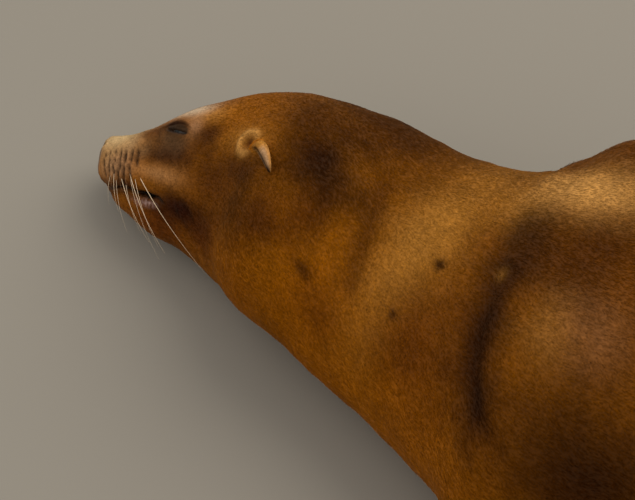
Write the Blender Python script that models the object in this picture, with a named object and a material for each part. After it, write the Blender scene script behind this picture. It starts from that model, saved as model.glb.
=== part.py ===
"""A sleeping California sea lion as a still, life-size model.

It lies on its belly with the neck stretched out and the head rolled onto its right cheek. The body is
one lofted form: upright sections stand along a spine, and each is cut off flat where it meets the floor.
The form is parted into head, neck, chest, belly, hindquarters and tail, and the flippers, ears, eyes and
claws are fitted to it. The head points along -X, the animal's left is -Y and the floor is Z = 0.
"""

import math

import bmesh
import bpy
import numpy as np
from mathutils import Matrix, Vector

# Driving dimensions, in metres and degrees.
GAP = 0.0004  # between any two solids that meet
SEGMENTS = 40  # points round a section of the body
TAIL_TIP = 1.665  # nose to tail tip, along the spine
NOSE_CAP = 0.013  # length over which the muzzle closes to the nose
TAIL_CAP = 0.030
EYE_RADIUS = 0.0180
EYE_INSET = 0.0198  # from the lids' outer face to the eye's centre
EYE_SLIT = (0.026, 0.0032, 0.010)  # length, opening and depth of the cut between the lids

# Colours of the sub-parts, linear.
GOLDEN_BROWN = (0.150, 0.058, 0.012, 1.0)
DARK_SKIN = (0.030, 0.016, 0.010, 1.0)
EYE_BLACK = (0.008, 0.007, 0.006, 1.0)
HORN = (0.060, 0.045, 0.035, 1.0)

# The spine. heading is the way to the tail, off +X; lift is how far a section clears the floor, or presses
# into it.
# along, heading, lift
SPINE = (
    (0.000, 18.0, 0.026),
    (0.060, 11.5, 0.019),
    (0.110, 10.0, 0.010),
    (0.160, 4.5, 0.001),
    (0.205, -5.0, -0.005),
    (0.240, -11.0, -0.009),
    (0.360, -8.0, -0.012),
    (0.470, -9.0, -0.014),
    (0.525, 4.5, -0.015),
    (0.570, 5.5, -0.016),
    (0.640, 8.5, -0.016),
    (0.720, 10.0, -0.016),
    (0.900, 8.0, -0.016),
    (1.150, 0.0, -0.013),
    (1.400, -7.0, -0.008),
    (1.560, -9.0, -0.003),
    (TAIL_TIP, -10.0, 0.004),
)

# The sections. roll turns the animal onto its right side; lean turns the section's own axes, which in the
# soft trunk stay level. side, back and front are the half sizes to the flanks, up the back and down to the
# belly.
# along, roll, lean, side, back, front, squareness of the upper half, of the lower half
SECTIONS = (
    (0.000, 57.0, 57.0, 0.026, 0.026, 0.016, 2.3, 2.3),
    (0.010, 57.0, 57.0, 0.029, 0.028, 0.022, 2.4, 2.2),
    (0.018, 57.0, 57.0, 0.034, 0.029, 0.030, 2.4, 2.1),
    (0.030, 57.0, 57.0, 0.040, 0.029, 0.046, 2.5, 2.1),
    (0.055, 57.0, 57.0, 0.045, 0.034, 0.065, 2.8, 2.1),
    (0.088, 57.0, 57.0, 0.055, 0.051, 0.083, 3.3, 2.1),
    (0.120, 57.0, 57.0, 0.067, 0.069, 0.092, 2.9, 2.1),
    (0.160, 56.0, 55.0, 0.081, 0.090, 0.107, 2.4, 2.1),
    (0.205, 54.0, 47.0, 0.101, 0.103, 0.122, 2.1, 2.0),
    (0.280, 49.0, 25.0, 0.144, 0.112, 0.130, 2.0, 2.0),
    (0.360, 43.0, 8.0, 0.151, 0.118, 0.110, 2.0, 2.1),
    (0.470, 34.0, 0.0, 0.165, 0.138, 0.128, 2.05, 2.15),
    (0.570, 26.0, 0.0, 0.221, 0.161, 0.137, 2.1, 2.2),
    (0.680, 20.0, 0.0, 0.222, 0.175, 0.150, 2.1, 2.3),
    (0.860, 13.0, 0.0, 0.218, 0.162, 0.145, 2.1, 2.3),
    (1.060, 7.0, 0.0, 0.186, 0.139, 0.124, 2.1, 2.2),
    (1.250, 3.0, 0.0, 0.146, 0.110, 0.096, 2.05, 2.15),
    (1.400, 0.0, 0.0, 0.112, 0.083, 0.072, 2.0, 2.1),
    (1.500, 0.0, 0.0, 0.082, 0.060, 0.052, 2.0, 2.0),
    (1.565, 0.0, 0.0, 0.048, 0.034, 0.031, 2.0, 2.0),
    (1.610, 0.0, 0.0, 0.029, 0.018, 0.019, 2.1, 2.1),
    (TAIL_TIP, 0.0, 0.0, 0.020, 0.010, 0.012, 2.2, 2.2),
)

# Swellings and hollows, each a smooth mound on the form. around is degrees from the back towards the left.
# along, around, reach along, reach around, height, on both sides
MOUNDS = (
    (0.004, 44.0, 0.010, 50.0, 0.0035, True),  # wings of the nose
    (0.027, 100.0, 0.019, 34.0, 0.0040, True),  # whisker pads
    (0.052, 0.0, 0.018, 50.0, -0.0030, False),  # dip of the bridge behind the nose
    (0.016, 168.0, 0.010, 26.0, -0.0030, False),  # front of the chin, under the lip
    (0.096, 60.0, 0.015, 16.0, 0.0055, True),  # eyelids
    (0.105, 30.0, 0.020, 12.0, 0.0025, True),  # brows
    (0.066, 76.0, 0.015, 22.0, -0.0020, True),  # hollow before the cheek
    (0.125, 92.0, 0.030, 30.0, 0.0045, True),  # cheeks
    (0.187, 69.0, 0.021, 16.0, 0.0060, True),  # ear roots
    (0.258, 76.0, 0.034, 26.0, -0.0110, True),  # hollows behind the ears
    (0.225, 25.0, 0.050, 45.0, 0.0050, False),  # nape
    (0.255, 160.0, 0.045, 40.0, 0.0040, False),  # throat
    (0.475, 60.0, 0.030, 40.0, -0.0080, False),  # hollow before the left shoulder
    (0.610, 62.0, 0.085, 30.0, 0.0200, False),  # left shoulder
    (0.610, 118.0, 0.070, 32.0, 0.0260, False),  # left elbow, on the floor
    (0.650, -42.0, 0.120, 40.0, 0.0300, False),  # right shoulder
    (0.520, 4.0, 0.060, 16.0, 0.0040, False),  # withers
    (0.484, -18.0, 0.030, 24.0, 0.0085, False),  # slope from the nape to the withers
    (0.528, -28.0, 0.026, 24.0, -0.0085, False),  # and the hollow behind it, on the right
    (1.330, 75.0, 0.090, 30.0, 0.0080, True),  # haunches
)

# Where each part of the body ends, along the spine, and its number of sections.
PARTS = (
    ("head", 0.225, 24),
    ("neck", 0.470, 10),
    ("chest", 0.830, 13),
    ("belly", 1.180, 8),
    ("hindquarters", 1.570, 11),
    ("tail", TAIL_TIP, 7),
)

# A fore flipper's rows: share of its length, metres outwards and back, height of its middle, half its chord,
# degrees between the chord and the body's axis, half its thickness.
FORE_ROWS = (
    (0.00, 0.060, 0.000, 0.100, 0.090, 6.0, 0.060),
    (0.18, 0.160, 0.025, 0.062, 0.094, 12.0, 0.050),
    (0.34, 0.232, 0.070, 0.028, 0.089, 22.0, 0.032),
    (0.50, 0.290, 0.135, 0.017, 0.080, 34.0, 0.0190),
    (0.68, 0.346, 0.225, 0.011, 0.069, 46.0, 0.0125),
    (0.84, 0.384, 0.312, 0.008, 0.053, 54.0, 0.0088),
    (0.94, 0.401, 0.366, 0.006, 0.036, 58.0, 0.0064),
    (0.985, 0.408, 0.390, 0.005, 0.018, 60.0, 0.0048),
    (1.00, 0.410, 0.398, 0.004, 0.006, 61.0, 0.0034),
)
FORE_ROOT = 0.045  # from the withers back to the middle of the flipper's root
FORE_ROWS_DRAWN = 13
FORE_TURNS = 16

# A hind flipper's rows: share of its length, metres back and outwards, height, half its width, half its
# thickness.
HIND_ROWS = (
    (0.00, 0.000, 0.048, 0.048, 0.040, 0.038),
    (0.18, 0.070, 0.062, 0.034, 0.044, 0.031),
    (0.36, 0.145, 0.080, 0.018, 0.048, 0.0185),
    (0.58, 0.230, 0.102, 0.0105, 0.058, 0.0115),
    (0.80, 0.315, 0.126, 0.0075, 0.072, 0.0082),
    (1.00, 0.385, 0.148, 0.0045, 0.082, 0.0048),
)
HIND_ROOT = 1.40
HIND_ROWS_DRAWN = 10
HIND_TURNS = 40
TOES = 5
TOE_LOBE = 0.022  # how far each toe reaches past the web beside it
CLAW_AT = 0.62
CLAW_LENGTH = 0.016
CLAW_ROWS = ((0.0, 0.0030), (0.3, 0.0036), (0.7, 0.0027), (1.0, 0.0008))  # share, half width
CLAW_DEPTH = 0.6  # half thickness over half width
CLAW_LIFT = 0.0006  # clear of the flipper

EYE_AT = (0.096, 62.0)
EYE_TILT = 3.5  # degrees down towards the rear over 10 mm
EAR_AT = (0.206, 71.0)
EAR_REACH = (0.056, 8.5)  # from root to tip, along the spine and round it
EAR_BEND = 0.0040  # how far the ear's middle bows away from the throat
# share of the length, half width, half thickness, height over the head
EAR_ROWS = (
    (-0.08, 0.0058, 0.0036, -0.0050),
    (0.04, 0.0070, 0.0048, -0.0010),
    (0.20, 0.0075, 0.0052, 0.0036),
    (0.42, 0.0073, 0.0048, 0.0074),
    (0.64, 0.0063, 0.0040, 0.0098),
    (0.82, 0.0047, 0.0030, 0.0108),
    (0.94, 0.0029, 0.0021, 0.0108),
    (1.00, 0.0011, 0.0010, 0.0106),
)
HEADING_STEP = 0.002


def clear_scene():
    for obj in list(bpy.data.objects):
        bpy.data.objects.remove(obj)


def eased(knots, values, at):
    """A smooth curve through the values that never overshoots them (monotone cubic)."""
    x, y, at = (np.asarray(v, float) for v in (knots, values, at))
    step = np.diff(x)
    slope = np.diff(y) / step
    lead, trail = slope[:-1], slope[1:]
    product = lead * trail
    inner = np.where(product > 0, 2 * product / np.where(product > 0, lead + trail, 1.0), 0.0)
    tangent = np.concatenate([slope[:1], inner, slope[-1:]])
    i = np.clip(np.searchsorted(x, at) - 1, 0, len(step) - 1)
    t = np.clip((at - x[i]) / step[i], 0, 1)
    rise = (1 + 2 * t) * (1 - t) ** 2 * y[i] + t**2 * (3 - 2 * t) * y[i + 1]
    bend = t * (1 - t) ** 2 * tangent[i] - t**2 * (1 - t) * tangent[i + 1]
    return rise + step[i] * bend


def column(table, index, at):
    return eased([row[0] for row in table], [row[index] for row in table], at)


def heading(along):
    return np.radians(column(SPINE, 1, along))


def spine_track():
    """The spine's way over the floor, from its heading, with the withers over the origin."""
    steps = np.arange(0.0, TAIL_TIP + HEADING_STEP, HEADING_STEP)
    way = np.stack([np.cos(heading(steps)), np.sin(heading(steps))], 1) * HEADING_STEP
    track = np.concatenate([[[0.0, 0.0]], np.cumsum(way, 0)[:-1]])
    withers = np.array([np.interp(0.570, steps, track[:, k]) for k in range(2)])
    return steps, track - withers


TRACK_STEPS, TRACK = spine_track()


def closing(along):
    """How far the form has opened from the nose, and from the tail tip."""
    nose = np.clip(1 - along / NOSE_CAP, 0, 1)
    tail = np.clip(1 - (TAIL_TIP - along) / TAIL_CAP, 0, 1)
    return ((1 - nose**2.3) * (1 - tail**2.0)) ** 0.5


def mounds(along, around):
    """The height that MOUNDS add at a place on the form."""
    total = np.zeros(np.broadcast(along, around).shape)
    for place, angle, reach, spread, height, both in MOUNDS:
        for side in (angle, -angle) if both else (angle,):
            away = (around - side + 180.0) % 360.0 - 180.0
            total += height * np.exp(-(((along - place) / reach) ** 2) - (away / spread) ** 2)
    return total


def reach(along, around):
    """The form's radius from the spine at these places, before the floor flattens it."""
    lean = column(SECTIONS, 2, along)
    roll = column(SECTIONS, 1, along)
    side, back, front, upper, lower = (column(SECTIONS, k, along) for k in range(3, 8))
    turn = np.radians(around - roll + lean)
    upright = np.cos(turn)
    tall = np.where(upright > 0, back, front)
    square = np.where(upright > 0, upper, lower)
    size = (np.abs(upright / tall) ** square + np.abs(np.sin(turn) / side) ** square) ** (-1 / square)
    return size * closing(along) + mounds(along, around) * closing(along)


def spine_height(along):
    """The height at which a section rests on the floor, with its lift."""
    round_it = np.linspace(-180.0, 180.0, 73)[None, :]
    at = np.asarray(along, float).reshape(-1, 1)
    down = -reach(at, round_it) * np.cos(np.radians(round_it - column(SECTIONS, 1, at)))
    return down.max(1).reshape(np.shape(along)) + column(SPINE, 2, along)


HEIGHT_AT = np.linspace(0.0, TAIL_TIP, 160)
HEIGHT = np.convolve(np.pad(spine_height(HEIGHT_AT), 4, mode="edge"), np.ones(9) / 9, mode="valid")


def surface(along, around, out=0.0):
    """The point of the form at a place along the spine and round it, moved outwards by out."""
    along, around = np.broadcast_arrays(np.asarray(along, float), np.asarray(around, float))
    middle = [np.interp(along, TRACK_STEPS, TRACK[:, k]) for k in range(2)]
    height = np.interp(along, HEIGHT_AT, HEIGHT)
    way = heading(along)
    turn = np.radians(around - column(SECTIONS, 1, along))
    size = reach(along, around) + out
    sideways = size * np.sin(turn)
    x = middle[0] + sideways * np.sin(way)
    y = middle[1] - sideways * np.cos(way)
    point = np.stack([x, y, height + size * np.cos(turn)], -1)
    point[..., 2] = np.maximum(point[..., 2], -out)
    return point


def outward(along, around):
    """The unit normal of the form at a place."""
    step, turn = 0.003, 2.0
    forward = surface(along + step, around) - surface(along - step, around)
    across = surface(along, around + turn) - surface(along, around - turn)
    normal = np.cross(across, forward)
    return normal / np.linalg.norm(normal, axis=-1, keepdims=True)


def material(name, colour, roughness):
    made = bpy.data.materials.new(name)
    made.use_nodes = True
    shader = made.node_tree.nodes["Principled BSDF"]
    shader.inputs["Base Color"].default_value = colour
    shader.inputs["Roughness"].default_value = roughness
    made.diffuse_color = colour
    return made


def new_object(name, mesh, finish):
    obj = bpy.data.objects.new(name, mesh)
    bpy.context.scene.collection.objects.link(obj)
    mesh.materials.append(finish)
    return obj


def loft(name, rings, finish):
    """A closed object through rings of points, with flat ends."""
    rows, count = rings.shape[:2]
    made = bmesh.new()
    grid = [[made.verts.new(Vector(p)) for p in ring] for ring in rings]
    for i in range(rows - 1):
        for j in range(count):
            k = (j + 1) % count
            made.faces.new((grid[i][j], grid[i + 1][j], grid[i + 1][k], grid[i][k]))
    made.faces.new(grid[0])
    made.faces.new(grid[-1][::-1])
    bmesh.ops.recalc_face_normals(made, faces=made.faces)
    mesh = bpy.data.meshes.new(name)
    made.to_mesh(mesh)
    made.free()
    mesh.shade_smooth()
    mesh.set_sharp_from_angle(angle=math.radians(50))
    return new_object(name, mesh, finish)


def as_cutter(obj):
    obj.hide_render = True
    obj.display_type = "WIRE"
    return obj


def cut(obj, cutter):
    boolean = obj.modifiers.new("fit_" + cutter.name, "BOOLEAN")
    boolean.operation = "DIFFERENCE"
    boolean.solver = "EXACT"
    boolean.object = cutter


def body_rings(places, out=0.0):
    around = np.arange(SEGMENTS) * 360.0 / SEGMENTS
    return surface(places[:, None], around[None, :], out)


def part_places():
    """The places along the spine of each part's sections: closer together at the nose and at the tail tip."""
    start = 0.0004
    for name, end, rings in PARTS:
        ease = np.linspace(0, 1, rings)
        if name == "head":
            ease = ease**1.7
        if name == "tail":
            ease = 1 - (1 - ease) ** 1.6
        last = TAIL_TIP - 0.0006 if name == "tail" else end - GAP / 2
        yield name, start + (last - start) * ease
        start = end + GAP / 2


def build_body(finish):
    """The parts of the trunk, end to end with a thin cut between them."""
    return {name: loft(name, body_rings(places), finish) for name, places in part_places()}


def body_seat(name, first, last, finish, out=GAP):
    """The trunk from one place to another, larger by out, to cut whatever is fitted to it."""
    places = np.concatenate([places for _, places in part_places()])
    places = places[(places >= first) & (places <= last)]
    return as_cutter(loft(name, body_rings(places, out), finish))


def eye_centre(side):
    along, around = EYE_AT[0], side * EYE_AT[1]
    return surface(along, around) - EYE_INSET * outward(along, around)


def ball(name, centre, radius, finish):
    made = bmesh.new()
    bmesh.ops.create_uvsphere(made, u_segments=16, v_segments=9, radius=radius)
    bmesh.ops.translate(made, verts=made.verts, vec=Vector(centre))
    mesh = bpy.data.meshes.new(name)
    made.to_mesh(mesh)
    made.free()
    mesh.shade_smooth()
    return new_object(name, mesh, finish)


def slit_cutter(name, side, finish):
    """A long thin ellipsoid that opens the lids over the eye."""
    out = outward(EYE_AT[0], side * EYE_AT[1])
    ahead = surface(EYE_AT[0] - 0.010, side * (EYE_AT[1] - EYE_TILT))
    ahead = ahead - surface(EYE_AT[0] + 0.010, side * (EYE_AT[1] + EYE_TILT))
    ahead -= out * (ahead @ out)
    ahead /= np.linalg.norm(ahead)
    above = np.cross(out, ahead)
    cutter = ball(name, np.zeros(3), 1.0, finish)
    length, opening, depth = EYE_SLIT
    axes = np.stack([ahead * length / 2, above * opening / 2, out * depth], 1)
    middle = surface(EYE_AT[0], side * EYE_AT[1])
    for vertex in cutter.data.vertices:
        vertex.co = Vector(middle + axes @ np.array(vertex.co))
    if np.linalg.det(axes) < 0:
        cutter.data.flip_normals()
    return as_cutter(cutter)


def build_eyes(head, finish):
    for name, side in (("left", 1), ("right", -1)):
        ball("eye_" + name, eye_centre(side), EYE_RADIUS, finish)
        cut(head, as_cutter(ball("socket_" + name, eye_centre(side), EYE_RADIUS + GAP, finish)))
        cut(head, slit_cutter("slit_" + name, side, finish))


def build_ears(finish):
    """Small rolled ears that lie back along the head, each a bent cone with a hollow beneath."""
    skin = body_seat("ear_seat", 0.10, 0.33, finish, 2 * GAP)
    turns = np.arange(12) * np.pi / 6
    for name, side in (("left", 1), ("right", -1)):
        along, around = EAR_AT[0], side * EAR_AT[1]
        out = outward(along, around)
        back = surface(along + EAR_REACH[0], around + side * EAR_REACH[1]) - surface(along, around)
        back /= np.linalg.norm(back)
        across = np.cross(out, back)
        rings = []
        for share, wide, thick, lift in EAR_ROWS:
            foot = surface(along + share * EAR_REACH[0], around + share * side * EAR_REACH[1])
            ring = np.outer(np.cos(turns) * wide, across) + np.outer(np.sin(turns) * thick, out)
            bend = side * EAR_BEND * math.sin(math.pi * min(max(share, 0), 1))
            rings.append(foot + out * lift + across * bend + ring)
        rings = np.array(rings)
        rings[..., 2] = np.maximum(rings[..., 2], 0.0)
        ear = loft("ear_" + name, rings, finish)
        cut(ear, skin)


def fore_ring(share, turn, side):
    """A point of a fore flipper: share is the way to its tip and turn goes round its section, 0 in front."""
    out, back, height, chord, swing, thick = (column(FORE_ROWS, k, share) for k in range(1, 7))
    swing = np.radians(swing)
    across = np.cos(turn)
    lead = np.where(across > 0, 1.0, 0.55 + 0.45 * (1 + across))
    x = FORE_ROOT + back - across * chord * np.cos(swing)
    y = side * (out + across * chord * np.sin(swing))
    z = np.maximum(height + thick * lead * np.sin(turn), 0.0)
    return np.stack(np.broadcast_arrays(x, y, z), -1)


def hind_ring(share, turn, side):
    """A point of a hind flipper: turn is 0 at its outer edge. Five toes part towards the scalloped end."""
    back, out, height, chord, thick = (column(HIND_ROWS, k, share) for k in range(1, 6))
    across = np.cos(turn)
    toe = np.abs(np.sin(0.5 * np.pi * (across + 1) * TOES))
    parted = np.clip((share - 0.35) / 0.65, 0, 1)
    back = back + TOE_LOBE * parted**3 * (toe**0.7 - 1 + 0.9 * across**2)
    thick = thick * (1 - 0.45 * parted * (1 - toe))
    middle, way = surface(HIND_ROOT, 0.0), heading(np.array(HIND_ROOT + 0.1))
    sideways = side * (out + across * chord)
    x = middle[0] + back * np.cos(way) - sideways * np.sin(way)
    y = middle[1] + back * np.sin(way) + sideways * np.cos(way)
    z = np.maximum(height + thick * np.sin(turn), 0.0)
    return np.stack(np.broadcast_arrays(x, y, z), -1)


def build_flippers(seat, finish):
    share = np.linspace(0, 1, FORE_ROWS_DRAWN)[:, None]
    turn = np.arange(FORE_TURNS)[None, :] * 2 * np.pi / FORE_TURNS
    hind_share = np.linspace(0, 1, HIND_ROWS_DRAWN)[:, None]
    hind_turn = np.arange(HIND_TURNS)[None, :] * 2 * np.pi / HIND_TURNS
    for name, side in (("left", -1), ("right", 1)):
        fore = loft("fore_flipper_" + name, fore_ring(share, turn, side), finish)
        cut(fore, seat)
        hind = loft("hind_flipper_" + name, hind_ring(hind_share, hind_turn, side), finish)
        cut(hind, seat)


def build_claws(finish):
    """The nails of the three middle toes, lying on top of each hind flipper."""
    turns = np.arange(8) * np.pi / 4
    for name, side in (("left", -1), ("right", 1)):
        for toe in (2, 3, 4):
            turn = math.acos((toe - 0.5) * 2 / TOES - 1)
            base = hind_ring(CLAW_AT, turn, side)
            ahead = hind_ring(CLAW_AT + 0.1, turn, side) - base
            share_of = CLAW_LENGTH * 0.1 / np.linalg.norm(ahead)
            across = np.cross([0, 0, 1.0], ahead / np.linalg.norm(ahead))
            rings = []
            for share, wide in CLAW_ROWS:
                deep = wide * CLAW_DEPTH
                middle = hind_ring(CLAW_AT + share * share_of, turn, side) + [0, 0, deep + CLAW_LIFT]
                ring = np.outer(np.cos(turns) * wide, across) + np.outer(np.sin(turns) * deep, [0, 0, 1])
                rings.append(middle + ring)
            loft(f"claw_{name}_{toe}", np.array(rings), finish)


def centre_on_floor():
    """Moves the whole animal so that its box stands centred on the origin."""
    bodies = [obj for obj in bpy.data.objects if obj.type == "MESH"]
    corners = np.array([v.co for obj in bodies if not obj.hide_render for v in obj.data.vertices])
    low, high = corners.min(0), corners.max(0)
    shift = Matrix.Translation((-(low[0] + high[0]) / 2, -(low[1] + high[1]) / 2, 0.0))
    for obj in bodies:
        obj.data.transform(shift)


def main():
    clear_scene()
    coat = material("coat", GOLDEN_BROWN, 0.55)
    bare = material("bare_skin", DARK_SKIN, 0.45)
    black = material("eye", EYE_BLACK, 0.05)
    horn = material("horn", HORN, 0.35)
    parts = build_body(coat)
    build_eyes(parts["head"], black)
    build_ears(coat)
    build_flippers(body_seat("flipper_seat", 0.45, TAIL_TIP, coat), bare)
    build_claws(horn)
    centre_on_floor()


main()
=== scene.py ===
import math

import bpy
import numpy as np
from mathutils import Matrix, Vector
from mathutils.kdtree import KDTree


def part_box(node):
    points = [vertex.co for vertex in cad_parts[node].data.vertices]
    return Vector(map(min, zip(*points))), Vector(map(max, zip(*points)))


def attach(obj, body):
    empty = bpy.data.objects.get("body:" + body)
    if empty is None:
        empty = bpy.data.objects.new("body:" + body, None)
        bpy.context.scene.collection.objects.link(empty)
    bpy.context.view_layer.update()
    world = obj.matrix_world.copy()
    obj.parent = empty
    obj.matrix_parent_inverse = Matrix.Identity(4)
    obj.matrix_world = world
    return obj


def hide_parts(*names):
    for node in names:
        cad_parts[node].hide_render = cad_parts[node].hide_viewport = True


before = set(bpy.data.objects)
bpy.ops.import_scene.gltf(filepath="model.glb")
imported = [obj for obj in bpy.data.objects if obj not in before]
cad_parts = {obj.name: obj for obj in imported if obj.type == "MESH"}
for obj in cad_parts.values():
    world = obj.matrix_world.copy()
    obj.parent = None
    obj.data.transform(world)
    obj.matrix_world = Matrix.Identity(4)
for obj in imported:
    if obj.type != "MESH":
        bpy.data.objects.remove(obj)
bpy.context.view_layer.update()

RNG = np.random.default_rng(20)

# ---------------------------------------------------------------- the form, as in the part's own source
# Lengths are in metres and angles in degrees.
TAIL_TIP = 1.665  # the length of the spine, from the tip of the nose
NOSE_CAP = 0.013  # how far from its ends the form rounds off
TAIL_CAP = 0.030
WITHERS = 0.570  # the place along the spine over the form's own origin
EYE_RADIUS = 0.0180
EYE_INSET = 0.0198
HEADING_STEP = 0.002
# The spine. heading is the way to the tail, off +X; lift is how far a section clears the floor, or presses
# into it.
# along, heading, lift
SPINE = (
    (0.000, 18.0, 0.026),
    (0.060, 11.5, 0.019),
    (0.110, 10.0, 0.010),
    (0.160, 4.5, 0.001),
    (0.205, -5.0, -0.005),
    (0.240, -11.0, -0.009),
    (0.360, -8.0, -0.012),
    (0.470, -9.0, -0.014),
    (0.525, 4.5, -0.015),
    (0.570, 5.5, -0.016),
    (0.640, 8.5, -0.016),
    (0.720, 10.0, -0.016),
    (0.900, 8.0, -0.016),
    (1.150, 0.0, -0.013),
    (1.400, -7.0, -0.008),
    (1.560, -9.0, -0.003),
    (TAIL_TIP, -10.0, 0.004),
)

# The sections. roll turns the animal onto its right side; lean turns the section's own axes, which in the
# soft trunk stay level. side, back and front are the half sizes to the flanks, up the back and down to the
# belly.
# along, roll, lean, side, back, front, squareness of the upper half, of the lower half
SECTIONS = (
    (0.000, 57.0, 57.0, 0.026, 0.026, 0.016, 2.3, 2.3),
    (0.010, 57.0, 57.0, 0.029, 0.028, 0.022, 2.4, 2.2),
    (0.018, 57.0, 57.0, 0.034, 0.029, 0.030, 2.4, 2.1),
    (0.030, 57.0, 57.0, 0.040, 0.029, 0.046, 2.5, 2.1),
    (0.055, 57.0, 57.0, 0.045, 0.034, 0.065, 2.8, 2.1),
    (0.088, 57.0, 57.0, 0.055, 0.051, 0.083, 3.3, 2.1),
    (0.120, 57.0, 57.0, 0.067, 0.069, 0.092, 2.9, 2.1),
    (0.160, 56.0, 55.0, 0.081, 0.090, 0.107, 2.4, 2.1),
    (0.205, 54.0, 47.0, 0.101, 0.103, 0.122, 2.1, 2.0),
    (0.280, 49.0, 25.0, 0.144, 0.112, 0.130, 2.0, 2.0),
    (0.360, 43.0, 8.0, 0.151, 0.118, 0.110, 2.0, 2.1),
    (0.470, 34.0, 0.0, 0.165, 0.138, 0.128, 2.05, 2.15),
    (0.570, 26.0, 0.0, 0.221, 0.161, 0.137, 2.1, 2.2),
    (0.680, 20.0, 0.0, 0.222, 0.175, 0.150, 2.1, 2.3),
    (0.860, 13.0, 0.0, 0.218, 0.162, 0.145, 2.1, 2.3),
    (1.060, 7.0, 0.0, 0.186, 0.139, 0.124, 2.1, 2.2),
    (1.250, 3.0, 0.0, 0.146, 0.110, 0.096, 2.05, 2.15),
    (1.400, 0.0, 0.0, 0.112, 0.083, 0.072, 2.0, 2.1),
    (1.500, 0.0, 0.0, 0.082, 0.060, 0.052, 2.0, 2.0),
    (1.565, 0.0, 0.0, 0.048, 0.034, 0.031, 2.0, 2.0),
    (1.610, 0.0, 0.0, 0.029, 0.018, 0.019, 2.1, 2.1),
    (TAIL_TIP, 0.0, 0.0, 0.020, 0.010, 0.012, 2.2, 2.2),
)

# Swellings and hollows, each a smooth mound on the form. around is degrees from the back towards the left.
# along, around, reach along, reach around, height, on both sides
MOUNDS = (
    (0.004, 44.0, 0.010, 50.0, 0.0035, True),  # wings of the nose
    (0.027, 100.0, 0.019, 34.0, 0.0040, True),  # whisker pads
    (0.052, 0.0, 0.018, 50.0, -0.0030, False),  # dip of the bridge behind the nose
    (0.016, 168.0, 0.010, 26.0, -0.0030, False),  # front of the chin, under the lip
    (0.096, 60.0, 0.015, 16.0, 0.0055, True),  # eyelids
    (0.105, 30.0, 0.020, 12.0, 0.0025, True),  # brows
    (0.066, 76.0, 0.015, 22.0, -0.0020, True),  # hollow before the cheek
    (0.125, 92.0, 0.030, 30.0, 0.0045, True),  # cheeks
    (0.187, 69.0, 0.021, 16.0, 0.0060, True),  # ear roots
    (0.258, 76.0, 0.034, 26.0, -0.0110, True),  # hollows behind the ears
    (0.225, 25.0, 0.050, 45.0, 0.0050, False),  # nape
    (0.255, 160.0, 0.045, 40.0, 0.0040, False),  # throat
    (0.475, 60.0, 0.030, 40.0, -0.0080, False),  # hollow before the left shoulder
    (0.610, 62.0, 0.085, 30.0, 0.0200, False),  # left shoulder
    (0.610, 118.0, 0.070, 32.0, 0.0260, False),  # left elbow, on the floor
    (0.650, -42.0, 0.120, 40.0, 0.0300, False),  # right shoulder
    (0.520, 4.0, 0.060, 16.0, 0.0040, False),  # withers
    (0.484, -18.0, 0.030, 24.0, 0.0085, False),  # slope from the nape to the withers
    (0.528, -28.0, 0.026, 24.0, -0.0085, False),  # and the hollow behind it, on the right
    (1.330, 75.0, 0.090, 30.0, 0.0080, True),  # haunches
)


# A fore flipper's rows: share of its length, metres outwards and back, height of its middle, half its chord,
# degrees between the chord and the body's axis, half its thickness.
FORE_ROWS = (
    (0.00, 0.060, 0.000, 0.100, 0.090, 6.0, 0.060),
    (0.18, 0.160, 0.025, 0.062, 0.094, 12.0, 0.050),
    (0.34, 0.232, 0.070, 0.028, 0.089, 22.0, 0.032),
    (0.50, 0.290, 0.135, 0.017, 0.080, 34.0, 0.0190),
    (0.68, 0.346, 0.225, 0.011, 0.069, 46.0, 0.0125),
    (0.84, 0.384, 0.312, 0.008, 0.053, 54.0, 0.0088),
    (0.94, 0.401, 0.366, 0.006, 0.036, 58.0, 0.0064),
    (0.985, 0.408, 0.390, 0.005, 0.018, 60.0, 0.0048),
    (1.00, 0.410, 0.398, 0.004, 0.006, 61.0, 0.0034),
)
FORE_ROOT = 0.045  # from the withers back to the middle of the flipper's root

# A hind flipper's rows: share of its length, metres back and outwards, height, half its width, half its
# thickness.
HIND_ROWS = (
    (0.00, 0.000, 0.048, 0.048, 0.040, 0.038),
    (0.18, 0.070, 0.062, 0.034, 0.044, 0.031),
    (0.36, 0.145, 0.080, 0.018, 0.048, 0.0185),
    (0.58, 0.230, 0.102, 0.0105, 0.058, 0.0115),
    (0.80, 0.315, 0.126, 0.0075, 0.072, 0.0082),
    (1.00, 0.385, 0.148, 0.0045, 0.082, 0.0048),
)
HIND_ROOT = 1.40
TOES = 5
TOE_LOBE = 0.022  # how far each toe reaches past the web beside it
CLAWED = (2, 3, 4)  # the toes with a claw
CLAW_AT = 0.62  # share of the flipper's length
CLAW_LENGTH = 0.016
CLAW_ROWS = ((0.0, 0.0030), (0.3, 0.0036), (0.7, 0.0027), (1.0, 0.0008))  # share, half width

EYE_AT = (0.096, 62.0)
EAR_AT = (0.206, 71.0)
EAR_REACH = (0.056, 8.5)  # from root to tip, along the spine and round it
EAR_BEND = 0.0040  # how far the ear's middle bows away from the throat
# share of the length, half width, half thickness, height over the head
EAR_ROWS = (
    (-0.08, 0.0058, 0.0036, -0.0050),
    (0.04, 0.0070, 0.0048, -0.0010),
    (0.20, 0.0075, 0.0052, 0.0036),
    (0.42, 0.0073, 0.0048, 0.0074),
    (0.64, 0.0063, 0.0040, 0.0098),
    (0.82, 0.0047, 0.0030, 0.0108),
    (0.94, 0.0029, 0.0021, 0.0108),
    (1.00, 0.0011, 0.0010, 0.0106),
)


# ---------------------------------------------------------------- small tools
def unit(vectors):
    """The same ways, each with a length of 1."""
    return vectors / np.maximum(np.linalg.norm(vectors, axis=-1, keepdims=True), 1e-9)


def ease(value, low, high):
    """0 below low, 1 above high, smooth between them."""
    t = np.clip((value - low) / (high - low), 0, 1)
    return t * t * (3 - 2 * t)


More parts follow.
